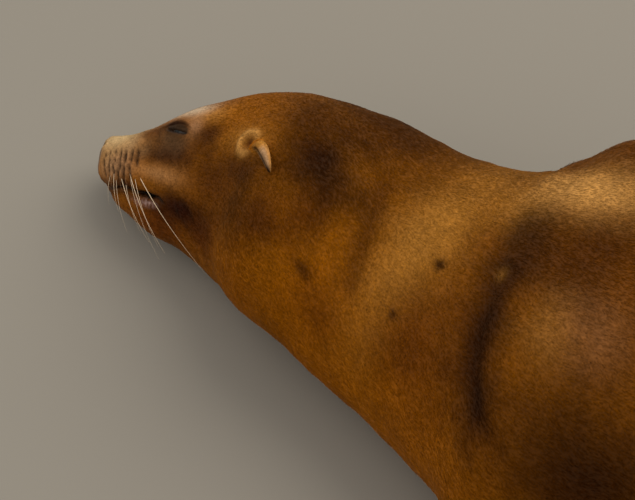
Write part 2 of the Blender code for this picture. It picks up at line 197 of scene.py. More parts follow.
def bell(value, width):
    """1 at a value of 0, falling away smoothly over the width."""
    return np.exp(-((value / width) ** 2))


def eased(knots, values, at):
    """A smooth curve through the values that never overshoots them (monotone cubic)."""
    x, y, at = (np.asarray(v, float) for v in (knots, values, at))
    step = np.diff(x)
    slope = np.diff(y) / step
    lead, trail = slope[:-1], slope[1:]
    product = lead * trail
    inner = np.where(product > 0, 2 * product / np.where(product > 0, lead + trail, 1.0), 0.0)
    tangent = np.concatenate([slope[:1], inner, slope[-1:]])
    i = np.clip(np.searchsorted(x, at) - 1, 0, len(step) - 1)
    t = np.clip((at - x[i]) / step[i], 0, 1)
    rise = (1 + 2 * t) * (1 - t) ** 2 * y[i] + t**2 * (3 - 2 * t) * y[i + 1]
    bend = t * (1 - t) ** 2 * tangent[i] - t**2 * (1 - t) * tangent[i + 1]
    return rise + step[i] * bend


def column(table, index, at):
    """One column of a table whose first column is the place, read at these places."""
    return eased([row[0] for row in table], [row[index] for row in table], at)


def heading(along):
    """The spine's way to the tail, in radians off +X."""
    return np.radians(column(SPINE, 1, along))


def spine_track():
    """The spine's way over the floor, from its heading, with the withers over the origin."""
    steps = np.arange(0.0, TAIL_TIP + HEADING_STEP, HEADING_STEP)
    way = np.stack([np.cos(heading(steps)), np.sin(heading(steps))], 1) * HEADING_STEP
    track = np.concatenate([[[0.0, 0.0]], np.cumsum(way, 0)[:-1]])
    withers = np.array([np.interp(WITHERS, steps, track[:, k]) for k in range(2)])
    return steps, track - withers


TRACK_STEPS, TRACK = spine_track()


def closing(along):
    """How far the form has opened from the nose, and from the tail tip."""
    nose = np.clip(1 - along / NOSE_CAP, 0, 1)
    tail = np.clip(1 - (TAIL_TIP - along) / TAIL_CAP, 0, 1)
    return ((1 - nose**2.3) * (1 - tail**2.0)) ** 0.5


def degrees_off(around, angle, both):
    """Degrees round the form from an angle, and from its mirror image where something is on both sides."""
    for side in (angle, -angle) if both and angle not in (0, 180) else (angle,):
        yield (around - side + 180.0) % 360.0 - 180.0


def mounds(along, around):
    """The height that MOUNDS add at a place on the form."""
    total = np.zeros(np.broadcast(along, around).shape)
    for place, angle, long, wide, height, both in MOUNDS:
        for away in degrees_off(around, angle, both):
            total += height * np.exp(-(((along - place) / long) ** 2) - (away / wide) ** 2)
    return total


def reach(along, around):
    """The form's radius from the spine at these places, before the floor flattens it."""
    lean = column(SECTIONS, 2, along)
    roll = column(SECTIONS, 1, along)
    side, back, front, upper, lower = (column(SECTIONS, k, along) for k in range(3, 8))
    turn = np.radians(around - roll + lean)
    upright = np.cos(turn)
    tall = np.where(upright > 0, back, front)
    square = np.where(upright > 0, upper, lower)
    size = (np.abs(upright / tall) ** square + np.abs(np.sin(turn) / side) ** square) ** (-1 / square)
    opened = closing(along)
    return size * opened + mounds(along, around) * opened


def spine_height(along):
    """The height at which a section rests on the floor, with its lift."""
    round_it = np.linspace(-180.0, 180.0, 73)[None, :]
    at = np.asarray(along, float).reshape(-1, 1)
    down = -reach(at, round_it) * np.cos(np.radians(round_it - column(SECTIONS, 1, at)))
    return down.max(1).reshape(np.shape(along)) + column(SPINE, 2, along)


# The spine's height, as the mean over each place and the four on either side of it.
HEIGHT_AT = np.linspace(0.0, TAIL_TIP, 160)
HEIGHT = np.convolve(np.pad(spine_height(HEIGHT_AT), 4, mode="edge"), np.ones(9) / 9, mode="valid")


def surface(along, around, out=0.0):
    """The point of the form at a place along the spine and round it, moved outwards by out."""
    along, around = np.broadcast_arrays(np.asarray(along, float), np.asarray(around, float))
    middle = [np.interp(along, TRACK_STEPS, TRACK[:, k]) for k in range(2)]
    height = np.interp(along, HEIGHT_AT, HEIGHT)
    way = heading(along)
    turn = np.radians(around - column(SECTIONS, 1, along))
    size = reach(along, around) + out
    sideways = size * np.sin(turn)
    x = middle[0] + sideways * np.sin(way)
    y = middle[1] - sideways * np.cos(way)
    point = np.stack([x, y, height + size * np.cos(turn)], -1)
    point[..., 2] = np.maximum(point[..., 2], -out)
    return point


def outward(along, around):
    """The unit normal of the form at a place."""
    step, turn = 0.003, 2.0
    ahead = surface(along + step, around) - surface(along - step, around)
    across = surface(along, around + turn) - surface(along, around - turn)
    return unit(np.cross(across, ahead))


def forward(along, around):
    """The unit way along the form, to the tail, at a place."""
    return unit(surface(along + 0.002, around) - surface(along - 0.002, around))


def fore_ring(share, turn, side):
    """A point of a fore flipper: share is the way to its tip and turn goes round its section, 0 in front."""
    out, back, height, chord, swing, thick = (column(FORE_ROWS, k, share) for k in range(1, 7))
    swing = np.radians(swing)
    across = np.cos(turn)
    lead = np.where(across > 0, 1.0, 0.55 + 0.45 * (1 + across))
    x = FORE_ROOT + back - across * chord * np.cos(swing)
    y = side * (out + across * chord * np.sin(swing))
    z = np.maximum(height + thick * lead * np.sin(turn), 0.0)
    return np.stack(np.broadcast_arrays(x, y, z), -1)


def hind_ring(share, turn, side):
    """A point of a hind flipper: turn is 0 at its outer edge. Five toes part towards the scalloped end."""
    back, out, height, chord, thick = (column(HIND_ROWS, k, share) for k in range(1, 6))
    across = np.cos(turn)
    toe = np.abs(np.sin(0.5 * np.pi * (across + 1) * TOES))
    parted = np.clip((share - 0.35) / 0.65, 0, 1)
    back = back + TOE_LOBE * parted**3 * (toe**0.7 - 1 + 0.9 * across**2)
    thick = thick * (1 - 0.45 * parted * (1 - toe))
    middle, way = surface(HIND_ROOT, 0.0), heading(np.array(HIND_ROOT + 0.1))
    sideways = side * (out + across * chord)
    x = middle[0] + back * np.cos(way) - sideways * np.sin(way)
    y = middle[1] + back * np.sin(way) + sideways * np.cos(way)
    z = np.maximum(height + thick * np.sin(turn), 0.0)
    return np.stack(np.broadcast_arrays(x, y, z), -1)


def eye_centre(side):
    """The middle of an eyeball. side is 1 on the left."""
    along, around = EYE_AT[0], side * EYE_AT[1]
    return surface(along, around) - EYE_INSET * outward(along, around)


EYE_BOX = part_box("eye_left")
SHIFT = np.array((EYE_BOX[0] + EYE_BOX[1]) / 2) - eye_centre(1)  # from the form's own frame to the model's


# ---------------------------------------------------------------- colours, as sRGB out of 255, made linear
def tone(red, green, blue):
    """A colour in linear light."""
    return (np.array([red, green, blue]) / 255.0) ** 2.2


GOLD = tone(145, 85, 16)
BROWN = tone(100, 54, 9)
DARK_BROWN = tone(58, 29, 3)
DEEP_BROWN = tone(32, 12, 1)
LIGHT_TAN = tone(192, 128, 52)
RIDGE_TAN = tone(226, 161, 84)
CREAM = tone(228, 200, 165)
MUZZLE_TAN = tone(212, 178, 126)
PINK_TAN = tone(168, 126, 92)
CHEEK_TAN = tone(184, 130, 80)
EAR_PALE = tone(206, 158, 112)
EYE_GREY = tone(78, 58, 40)
MAROON = tone(36, 8, 1)
ORANGE_GOLD = tone(176, 100, 6)
RED_BROWN = tone(96, 47, 8)
LIP_PINK_AND_GLINT = tone(186, 150, 138)
LIP_LINE = tone(22, 9, 7)
MOUTH_SHADOW_BLACK = tone(12, 6, 5)
NOSTRIL_SHADE_BLACK = tone(22, 14, 12)
NOSE_SKIN = tone(62, 42, 36)
LID_RIM = tone(40, 30, 26)
UPPER_LID_SHADE = tone(46, 33, 22)
PIT_BROWN_AND_SHADE = tone(30, 14, 8)
HOLLOW_SHADE_BROWN = tone(78, 34, 8)
BLACK_SKIN = tone(34, 27, 24)
FLIPPER_SKIN = tone(58, 45, 38)
CLAW_HORN = tone(74, 62, 52)
WHISKER_ROOT = tone(96, 62, 40)
WHISKER_PALE = tone(236, 206, 166)
WHISKER_DULL = tone(150, 112, 80)
FLOOR_GREY = tone(150, 143, 131)
FOLD_SHADE_TINT = np.array([0.75, 0.80, 0.85])  # how much of a fold's painted shade it takes from red, green and blue
BODY_SHADE = 0.24  # how much darker the body is than the face: partly its own deeper tone, partly painted shade for the shadow its hairs cast on each other

# Markings: place along, degrees round it, reach along and round, colour, strength, on both sides.
MARKS = (
    (0.640, 0, 0.260, 90, BROWN, 0.75, False),
    (1.150, 0, 0.420, 75, BROWN, 0.55, False),
    (0.950, 180, 0.500, 60, DARK_BROWN, 0.55, False),
    (1.500, 0, 0.160, 180, DARK_BROWN, 0.45, False),
    (0.450, 140, 0.190, 50, ORANGE_GOLD, 0.95, True),
    (0.430, 108, 0.130, 30, ORANGE_GOLD, 0.75, True),
    (0.265, 138, 0.050, 26, ORANGE_GOLD, 0.95, True),
    (0.430, 40, 0.042, 60, LIGHT_TAN, 0.85, False),
    (0.420, -40, 0.060, 40, LIGHT_TAN, 0.45, False),
    (0.480, 88, 0.042, 22, RED_BROWN, 0.70, True),
    (0.500, 10, 0.040, 18, LIGHT_TAN, 0.68, False),
    # the withers' ridge: pale fur with a painted highlight where the ridge takes the light
    (0.562, -1, 0.072, 12, RIDGE_TAN, 0.95, False),
    (0.608, 19, 0.034, 11, DARK_BROWN, 0.50, False),
    (0.330, -16, 0.110, 16, GOLD, 0.60, True),
    (0.300, 12, 0.075, 30, DARK_BROWN, 0.60, True),
    (0.284, 58, 0.042, 23, DEEP_BROWN, 0.90, True),
    (0.322, 64, 0.024, 16, DEEP_BROWN, 0.50, True),
    (0.310, 84, 0.022, 13, BROWN, 0.75, True),
    (0.272, 96, 0.026, 12, BROWN, 0.75, True),
    (0.374, 106, 0.036, 12, RED_BROWN, 0.55, False),
    (0.236, 38, 0.040, 24, DARK_BROWN, 0.60, True),
    (0.165, 34, 0.040, 24, ORANGE_GOLD, 0.25, True),
    (0.232, 106, 0.055, 20, DARK_BROWN, 0.60, True),
    (0.205, 88, 0.045, 10, DARK_BROWN, 0.75, True),
    (0.165, 106, 0.050, 18, BROWN, 0.80, True),
    (0.160, 97, 0.026, 12, DARK_BROWN, 0.45, True),
    (0.170, 140, 0.038, 14, RED_BROWN, 0.80, True),
    (0.136, 66, 0.022, 14, DARK_BROWN, 0.90, True),
    (0.091, 88, 0.046, 16, DARK_BROWN, 0.95, True),
    (0.088, 109, 0.036, 9, CHEEK_TAN, 0.65, True),
    (0.128, 46, 0.020, 10, LIGHT_TAN, 0.50, True),
    # on the lower jaw: dark maroon fur with painted shade over it
    (0.124, 132, 0.052, 17, MAROON, 0.97, True),
    (0.100, 143, 0.024, 9, DEEP_BROWN, 0.80, True),
    (0.100, 160, 0.060, 18, RED_BROWN, 0.80, True),
    (0.190, 68, 0.028, 8, LIGHT_TAN, 0.60, True),
    (0.026, 30, 0.030, 55, MUZZLE_TAN, 0.95, True),
    (0.066, 54, 0.020, 15, BROWN, 0.85, True),
    (0.104, 36, 0.022, 11, CREAM, 0.80, False),
    (0.104, -38, 0.024, 12, LIGHT_TAN, 0.60, False),
    (0.114, 58, 0.010, 10, PINK_TAN, 0.55, True),
    (0.090, 68, 0.022, 13, EYE_GREY, 0.85, True),
    (0.100, 77, 0.015, 9, EYE_GREY, 0.55, True),
    (0.086, 53, 0.013, 7, DEEP_BROWN, 0.65, True),
    (0.034, 104, 0.022, 22, PINK_TAN, 0.60, True),
    # the shoulder crease, the shoulder beside it and the lower flanks: dark fur with painted shade in the
    # crease and on the sides turned from the light
    (0.530, 26, 0.034, 18, DEEP_BROWN, 0.70, False),
    (0.530, 61, 0.021, 25, DEEP_BROWN, 0.84, False),
    (0.588, 35, 0.050, 14, DARK_BROWN, 0.50, False),
    (0.550, 84, 0.022, 11, DEEP_BROWN, 0.85, False),
    (0.664, 88, 0.094, 22, DEEP_BROWN, 0.85, True),
    (0.590, 56, 0.026, 10, LIGHT_TAN, 0.35, False),
    # painted highlight: a soft pinkish sheen on the shoulder
    (0.628, 51, 0.038, 11, PINK_TAN, 0.18, False),
    (0.505, 68, 0.014, 10, BROWN, 0.45, False),
    (0.4635, 56, 0.0080, 3.2, DEEP_BROWN, 0.95, False),
    (0.4515, 84, 0.0060, 2.0, DEEP_BROWN, 0.85, False),
    (0.337, 98, 0.0110, 3.0, DEEP_BROWN, 0.70, False),
    (0.520, 46, 0.0060, 2.5, LIGHT_TAN, 0.60, False),
)

# Folds: knots of (along, degrees round), half width, depth, how much painted shade darkens the coat along the
# crease, on both sides.
FOLDS = (
    (((0.347, 26), (0.356, 46), (0.370, 64), (0.386, 84), (0.394, 98)), 0.0110, 0.0035, 0.62, True),
    (((0.290, 40), (0.298, 58), (0.320, 72), (0.334, 92)), 0.0090, 0.0020, 0.40, True),
    (((0.500, 12), (0.503, 30), (0.514, 46), (0.517, 62), (0.526, 76), (0.544, 85), (0.566, 90), (0.596, 94)),
     0.0120, 0.0045, 0.52, False),
    (((0.118, 124), (0.134, 128), (0.150, 136)), 0.0030, 0.0012, 0.35, True),
    (((0.112, 134), (0.130, 140), (0.150, 146)), 0.0030, 0.0010, 0.30, True),
    (((0.052, 58), (0.060, 70), (0.064, 84)), 0.0030, 0.0008, 0.15, True),
    (((0.067, 50), (0.072, 62), (0.074, 76)), 0.0025, 0.0008, 0.18, True),
)
# The line of the lips and a nostril, as knots of (along, degrees round).
MOUTH = ((0.0105, 178), (0.015, 156), (0.024, 143), (0.034, 136), (0.043, 133), (0.055, 135), (0.067, 137),
         (0.082, 133), (0.094, 131), (0.105, 135))
NOSTRIL = ((0.0030, 32), (0.0048, 44), (0.0072, 48))
GAP_AT, GAP_SIZE = (0.0765, 134.0), (0.0115, 0.0034)  # where the lips part, half length and half height
# The slit of the eye.
SLIT_AT = (0.0962, 63.6)  # its middle: along, degrees round
SLIT_HALF = 0.0128  # half its length
SLIT_LEAN = math.radians(17)
SLIT_OPEN = 0.0009  # half its opening
HOLLOW_AT = (EAR_AT[0] - 0.010, EAR_AT[1])  # the hollow before the ear


def metric(along, around, place, angle, girth):
    """Metres along and round the form from a place, both sides alike."""
    return along - place, np.radians(np.abs(around) - angle) * girth


def to_line(along, around, girth, knots, both):
    """The distance in metres to a line of knots on the form, and the share of the line's length reached."""
    turn = np.abs(around) if both else around
    best = np.full(along.shape, 9.0)
    share = np.zeros(along.shape)
    count = len(knots) - 1
    for i in range(count):
        (s0, a0), (s1, a1) = knots[i], knots[i + 1]
        dx, dy = s1 - s0, np.radians(a1 - a0) * girth
        px, py = along - s0, np.radians(turn - a0) * girth
        t = np.clip((px * dx + py * dy) / (dx * dx + dy * dy + 1e-12), 0, 1)
        away = np.hypot(px - t * dx, py - t * dy)
        closer = away < best
        best = np.where(closer, away, best)
        share = np.where(closer, (i + t) / count, share)
    return best, share


def mouth_line(along, around, girth):
    """Metres from the line of the lips, the share of its length reached, and how it fades at its corner."""
    away, share = to_line(along, around, girth, MOUTH, True)
    return away, share, 1 - ease(share, 0.93, 1.0)


def gap(along, around, girth):
    """1 on the edge of the gap between the lips, less inside it."""
    ds, da = metric(along, around, *GAP_AT, girth)
    return np.hypot(ds / GAP_SIZE[0], (da + 0.12 * ds) / GAP_SIZE[1])


def ear_hollow(along, around, girth):
    """Metres behind the middle of the hollow that an ear stands in, and metres from it."""
    ds, da = metric(along, around, *HOLLOW_AT, girth)
    return ds, np.hypot(ds, da)


def slit_frame(along, around, girth):
    """Metres along and across the eye's slit, the half opening there, and how far off the lids' creases run.
    Across grows towards the cheek."""
    ds, da = metric(along, around, *SLIT_AT, girth)
    e1 = ds * math.cos(SLIT_LEAN) + da * math.sin(SLIT_LEAN)
    e2 = -ds * math.sin(SLIT_LEAN) + da * math.cos(SLIT_LEAN)
    bow = (e1 / SLIT_HALF) ** 2
    opening = SLIT_OPEN * np.sqrt(np.clip(1 - bow, 0, 1))
    return e1, e2 + 0.0016 * bow - 0.0010, opening, 0.0098 - 0.0040 * bow


def follicles():
    """The roots of the whiskers on one side, in uneven rows along the pad.

    Each is along, degrees round, row, place in the row, size."""
    random = np.random.default_rng(5)
    for row in range(5):
        for place in range(7 - row // 2):
            along = 0.012 + 0.0072 * place + 0.0012 * row + random.uniform(-0.0013, 0.0013)
            angle = 79 + 10.0 * row + 1.8 * place + random.uniform(-2.2, 2.2)
            yield along, angle, row, place, random.uniform(0.8, 1.3) + 0.11 * place


FOLLICLES = list(follicles())


def waves(points, length, seed, count=7):
    """A smooth pattern between about -1 and 1, in space, with waves of about that length."""
    random = np.random.default_rng(seed)
    total = np.zeros(len(points))
    for _ in range(count):
        way = random.normal(size=3)
        way *= 2 * np.pi / (length * random.uniform(0.75, 1.5) * np.linalg.norm(way))
        total += np.sin(points @ way + random.uniform(0, 6.3))
    return total / math.sqrt(count) / 1.2


def pits(along, around, girth):
    """The size of each whisker's pit, a slot across the pad, and metres from it for a pit of size 1."""
    for place, angle, _, _, size in FOLLICLES:
        ds, da = metric(along, around, place, angle, girth)
        yield size, np.hypot(ds - 0.25 * da, da * 0.40) / size


def sculpted(along, around, girth):
    """What the face and the folds add to the skin's height, in metres."""
    height = np.zeros(along.shape)
    for knots, width, depth, _, both in FOLDS:
        away, share = to_line(along, around, girth, knots, both)
        fade = ease(share, 0, 0.16) * (1 - ease(share, 0.84, 1.0))
        height -= depth * fade * bell(away, width)
        height += 0.45 * depth * fade * bell(away - 2.1 * width, 1.3 * width)
    # eye: the slit and its rim, then the upper lid's crease with the fold over it, and the lower lid's two
    # creases
    e1, e2, opening, arch = slit_frame(along, around, girth)
    near = ease(-np.abs(e1), -0.030, -0.010)
    rim = np.abs(e2) - opening
    height -= 0.0036 * (1 - ease(rim, -0.0003, 0.0007)) * (np.abs(e1) < SLIT_HALF)
    height += 0.0011 * bell(rim - 0.0018, 0.0013) * (1 - ease(np.abs(e1), SLIT_HALF, SLIT_HALF + 0.005))
    creases = ((-0.0013, e2 + arch, 0.0012), (0.0009, e2 + arch + 0.0028, 0.0018),
               (-0.0005, e2 - arch * 0.75, 0.0010), (-0.0004, e2 - arch * 1.25, 0.0011))
    for rise, away, width in creases:
        height += rise * near * bell(away, width)
    # mouth: the line itself, the lips either side of it, and the gap where it stands a little open
    away, share, fade = mouth_line(along, around, girth)
    gape = bell(share - 0.68, 0.15)
    height -= (0.0026 + 0.0030 * gape) * fade * bell(away, 0.0013 + 0.0015 * gape)
    height += 0.0011 * fade * bell(away - 0.0040, 0.0022)
    height -= 0.0040 * (1 - ease(gap(along, around, girth), 0.75, 1.15))
    # nostrils
    away, share = to_line(along, around, girth, NOSTRIL, True)
    height -= 0.0030 * bell(away, 0.0013) * ease(share, 0, 0.3) * (1 - ease(share, 0.8, 1.0))
    height += 0.0008 * bell(away - 0.0030, 0.0015)
    # the rim before the ear's root, and the hollow it stands in
    behind, away = ear_hollow(along, around, girth)
    height += 0.0026 * bell(away - 0.0120, 0.0040) * (1 - ease(behind, 0.000, 0.012))
    height -= 0.0030 * bell(away, 0.0060)
    for size, away in pits(along, around, girth):
        height += size * (-0.0011 * bell(away, 0.0011) + 0.0003 * bell(away - 0.0024, 0.0011))
    return height


def bareness(along, around, girth):
    """1 where the body's skin shows no coat: nose, lips, the rims of the eyes."""
    away, _, fade = mouth_line(along, around, girth)
    lips = bell(away, 0.0030) * fade
    e1, e2, opening, _ = slit_frame(along, around, girth)
    lids = (1 - ease(np.abs(e2) - opening, 0.0010, 0.0026)) * (1 - ease(np.abs(e1), 0.0125, 0.0150))
    pad = 1 - ease(along + 0.004 * bell(np.abs(around) - 180, 70), 0.0050, 0.0080)
    return np.clip(np.maximum.reduce([lips, lids, pad]), 0, 1)


def paint(colour, mark, amount):
    """Takes the colours towards a mark, each by its own amount."""
    colour += (mark - colour) * amount[:, None]


def paint_face(colour, along, around, girth, points):
    """The colours of the lids, lips, nostrils, whisker pits, ear hollows and nose, with painted shade in the
    lid's crease, the gap of the mouth, the nostrils, the pits and the ear's hollow, and painted highlights on
    the lower lip.
    """
    e1, e2, opening, arch = slit_frame(along, around, girth)
    lids = (1 - ease(np.abs(e2) - opening, 0.0006, 0.0034)) * (1 - ease(np.abs(e1), 0.012, 0.016))
    paint(colour, LID_RIM, 0.9 * lids)
    # painted shade: the upper lid's crease under the brow, and the lid below it
    crease = bell(e2 + arch + 0.0008, 0.0030) * ease(-np.abs(e1 + 0.005), -0.020, -0.008)
    paint(colour, DEEP_BROWN, 0.9 * crease)
    upper = ease(e2 + arch, 0.0, 0.002) * (1 - ease(e2, -0.002, 0.0)) * (1 - ease(np.abs(e1), 0.010, 0.017))
    paint(colour, UPPER_LID_SHADE, 0.9 * upper)
    away, share, fade = mouth_line(along, around, girth)
    below = ease(np.abs(around), 134, 138)
    # the lower lip: pink skin with painted wet highlights in streaks
    lower_lip = bell(away - 0.0078, 0.0038) * bell(share - 0.76, 0.13) * below * fade
    streaks = 0.70 + 0.55 * waves(points, 0.0042, 14)
    paint(colour, LIP_PINK_AND_GLINT, np.clip(0.9 * lower_lip * streaks, 0, 1))
    brim = bell(away - 0.0040, 0.0062) * (1 - ease(share, 0.55, 0.85)) * (1 - 0.3 * below)
    paint(colour, DARK_BROWN, 0.90 * brim)
    paint(colour, LIP_LINE, 0.95 * fade * bell(away, 0.0021))
    # painted shadow: the gap between the lips is painted near black for the unlit inside of the mouth
    paint(colour, MOUTH_SHADOW_BLACK, 1 - ease(gap(along, around, girth), 0.8, 1.2))
    # painted shade in the nostrils' slits
    away, _ = to_line(along, around, girth, NOSTRIL, True)
    paint(colour, NOSTRIL_SHADE_BLACK, 0.9 * bell(away, 0.0018))
    # the whisker pits: dark follicles with painted shade in the dimples
    for _, away in pits(along, around, girth):
        paint(colour, PIT_BROWN_AND_SHADE, 0.9 * bell(away, 0.0012))
    behind, away = ear_hollow(along, around, girth)
    paint(colour, RIDGE_TAN, 0.80 * bell(away - 0.0125, 0.0045) * (1 - ease(behind, 0.002, 0.014)))
    # the hollow before the ear: red-brown fur with painted shade in the dip
    paint(colour, HOLLOW_SHADE_BROWN, 0.9 * bell(away, 0.0068))
    on_pad = bell(along - 0.034, 0.024) * bell(np.abs(around) - 102, 26)
    streaks = on_pad * waves(points * (1, 1, 0.5), 0.0048, 15)
    colour *= 1 + 0.22 * streaks[:, None]
    paint(colour, NOSE_SKIN, 0.85 * (1 - ease(along, 0.0025, 0.0065)))


def body_colour(along, around, girth, points):
    """The coat's colour at places on the body, the same for the skin and for the tufts."""
    colour = np.tile(GOLD, (len(along), 1))
    drift = waves(points, 0.060, 3) * 0.30 + waves(points, 0.022, 4) * 0.18
    for place, angle, long, wide, mark, strength, both in MARKS:
        for away in degrees_off(around, angle, both):
            near = np.hypot((along - place) / long, away / wide)
            paint(colour, mark, strength * np.exp(-np.clip(near * (1 + 0.35 * drift), 0, 9) ** 2.2))
    # painted shade: each fold darkens the coat's colour along its crease
    for knots, width, _, darker, both in FOLDS:
        away, share = to_line(along, around, girth, knots, both)
        fade = ease(share, 0, 0.2) * (1 - ease(share, 0.8, 1.0))
        amount = darker * fade * bell(away * (1 + 0.4 * drift), 1.25 * width)
        colour *= 1 - amount[:, None] * FOLD_SHADE_TINT
    paint_face(colour, along, around, girth, points)
    # mottling: paler and darker hairs in soft clumps
    mottle = 0.06 * waves(points, 0.016, 5) + 0.07 * waves(points, 0.0070, 6) + 0.08 * waves(points, 0.050, 7)
    # the body made darker than the face, partly painted shade for the shadow the coat's hairs cast on each
    # other
    shade = 1 - BODY_SHADE * ease(along, 0.07, 0.26)
    return np.clip(colour * ((1 + mottle) * shade)[:, None], 0.0008, 0.9)


# ---------------------------------------------------------------- the skin's own shapes
# The depth of the coat over the skin, and how far apart the skin's rows are, by the place along the body.
COAT_DEPTH = ((0.0, 0.0003), (0.03, 0.0005), (0.10, 0.0008), (0.20, 0.0010), (0.30, 0.0012), (0.60, 0.0014),
              (1.50, 0.0014), (TAIL_TIP, 0.0008))
ROW_SPACING = ((0.0, 0.0006), (0.004, 0.0011), (0.072, 0.0014), (0.080, 0.0010), (0.112, 0.0010),
               (0.122, 0.0015), (0.26, 0.0020), (0.30, 0.0030), (0.60, 0.0034), (0.72, 0.0065),
               (1.55, 0.0065), (1.64, 0.0030), (TAIL_TIP, 0.0008))
COLUMNS = 216
HALVED_AT = 0.62  # the trunk behind this has half as many columns
BODY, FORE_LEFT, FORE_RIGHT, HIND_LEFT, HIND_RIGHT, EAR_LEFT, EAR_RIGHT = range(7)  # kinds of skin
FORE, HIND, EARS = (FORE_LEFT, FORE_RIGHT), (HIND_LEFT, HIND_RIGHT), (EAR_LEFT, EAR_RIGHT)
# The parts of the skin on the map: for the body, left edge, width, lower edge and height. The limbs share a
# left edge and a width, and each has its lower edge and height.
UV_BODY = (0.01, 0.78, 0.01, 0.98)
UV_LIMB_LEFT, UV_LIMB_WIDTH = 0.82, 0.165
UV_LIMBS = {FORE_LEFT: (0.01, 0.26), FORE_RIGHT: (0.28, 0.26), HIND_LEFT: (0.55, 0.17),
            HIND_RIGHT: (0.73, 0.17), EAR_LEFT: (0.915, 0.035), EAR_RIGHT: (0.955, 0.035)}
EAR_RINGS, EAR_COLUMNS = 26, 32
EAR_ZONE = 0.07  # joints this near to an ear are the ear's own
EAR_ROUNDING, FLIPPER_ROUNDING = 0.0035, 0.026  # how far from a joint the skin is rounded
LEAST_GIRTH = 0.004
FLOOR_GAP = 0.0004  # between the floor and the skin over it


def graded(table):
    """Places from the nose to the tail tip, as far apart as the table says."""
    spacing = np.array(table)
    places, place = [], 0.0004
    while place < TAIL_TIP - 0.0006:
        places.append(place)
        place += np.interp(place, spacing[:, 0], spacing[:, 1])
    return np.array(places + [TAIL_TIP - 0.0005])


def column_angles(along, count):
    """The degrees round the form of each column, closer together at the eyes and the mouth."""
    fine = np.linspace(-180, 180, 721)
    focus = 1 - ease(along, 0.13, 0.27)
    weight = 1 + focus * (1.2 * bell(np.abs(fine) - 62, 17) + 0.6 * bell(np.abs(fine) - 132, 15))
    total = np.concatenate([[0], np.cumsum((weight[1:] + weight[:-1]) / 2)])
    return np.interp(np.arange(count) / count, total / total[-1], fine)


def grid_faces(first, second, count_a, count_b):
    """Faces between two rings of points, given by their first index. The second may have half as many."""
    if count_a == count_b:
        following = [(j + 1) % count_a for j in range(count_a)]
        return [(first + j, first + k, second + k, second + j) for j, k in enumerate(following)]
    faces = []
    for j in range(count_b):
        k = (j + 1) % count_b
        a, b, c = first + 2 * j, first + 2 * j + 1, first + (2 * j + 2) % count_a
        faces += [(a, b, second + j), (b, second + k, second + j), (b, c, second + k)]
    return faces


def body_skin():
    """The skin of the body: points, faces, and the place, way and bareness of each point."""
    rows = graded(ROW_SPACING)
    counts = [COLUMNS if place < HALVED_AT else COLUMNS // 2 for place in rows]
    starts = (np.cumsum(counts) - counts).tolist()
    along = np.repeat(rows, counts)
    around = np.concatenate([column_angles(place, count) for place, count in zip(rows, counts)])
    faces = []
    for i in range(len(rows) - 1):
        faces += grid_faces(starts[i], starts[i + 1], counts[i], counts[i + 1])
    faces.append(tuple(range(counts[0]))[::-1])
    faces.append(tuple(starts[-1] + j for j in range(counts[-1])))
    form = surface(along, around)
    girth = np.maximum(reach(along, around), LEAST_GIRTH)
    height = sculpted(along, around, girth) - column(COAT_DEPTH, 1, along)
    height += (waves(form, 0.055, 1) * 0.0007 + waves(form, 0.020, 2) * 0.0003) * ease(along, 0.10, 0.30)
    points = form + outward(along, around) * height[:, None]
    lowest = np.minimum(0.0008, form[:, 2])
    points[:, 2] = np.where(form[:, 2] < 1e-5, FLOOR_GAP, np.maximum(points[:, 2], lowest))
    return points, faces, along, around, forward(along, around), bareness(along, around, girth)


def limb_skin(ring, shares, turns, side, depth, ridges):
    """A flipper: its ring function at each share, set in by depth and ridged."""
    share, turn = np.meshgrid(shares, turns, indexing="ij")
    at = ring(share, turn, side)
    step_s, step_t = 0.004, 0.02
    ahead = ring(np.minimum(share + step_s, 1), turn, side) - ring(np.maximum(share - step_s, 0), turn, side)
    across = ring(share, turn + step_t, side) - ring(share, turn - step_t, side)
    normal = unit(np.cross(across, ahead) * -side)
    middle = at.mean(1, keepdims=True)
    normal *= np.sign(((at - middle) * normal).sum(-1).mean())
    inset = -np.interp(share, [0, 0.3, 0.7, 1], [depth, depth * 0.7, 0.0006, 0.0004])
    points = at + normal * (inset + ridges(share, turn))[..., None]
    points[..., 2] = np.where(at[..., 2] < 1e-5, FLOOR_GAP, np.maximum(points[..., 2], FLOOR_GAP))
    return points, unit(ahead)


def fore_ridges(share, turn):
    """The finger bones under the upper skin of a fore flipper."""
    fingers = 0.0014 * np.sin(np.pi * (np.cos(turn) + 0.1) * 3.5)
    fingers *= ease(share, 0.35, 0.55) * (1 - ease(share, 0.86, 1))
    return fingers * np.maximum(np.sin(turn), 0)


def hind_ridges(share, turn):
    """The toe bones along the middle of each toe of a hind flipper."""
    toe = np.abs(np.sin(0.5 * np.pi * (np.cos(turn) + 1) * TOES))
    rib = 0.0009 * (toe**3 - 0.4) * ease(share, 0.2, 0.4) * (1 - ease(share, 0.88, 1))
    return rib * np.maximum(np.sin(turn), 0)


def from_slot(turn, side):
    """The angle round an ear from the slot on the side of the throat."""
    return (turn - math.radians(152 if side > 0 else 28) + np.pi) % (2 * np.pi) - np.pi


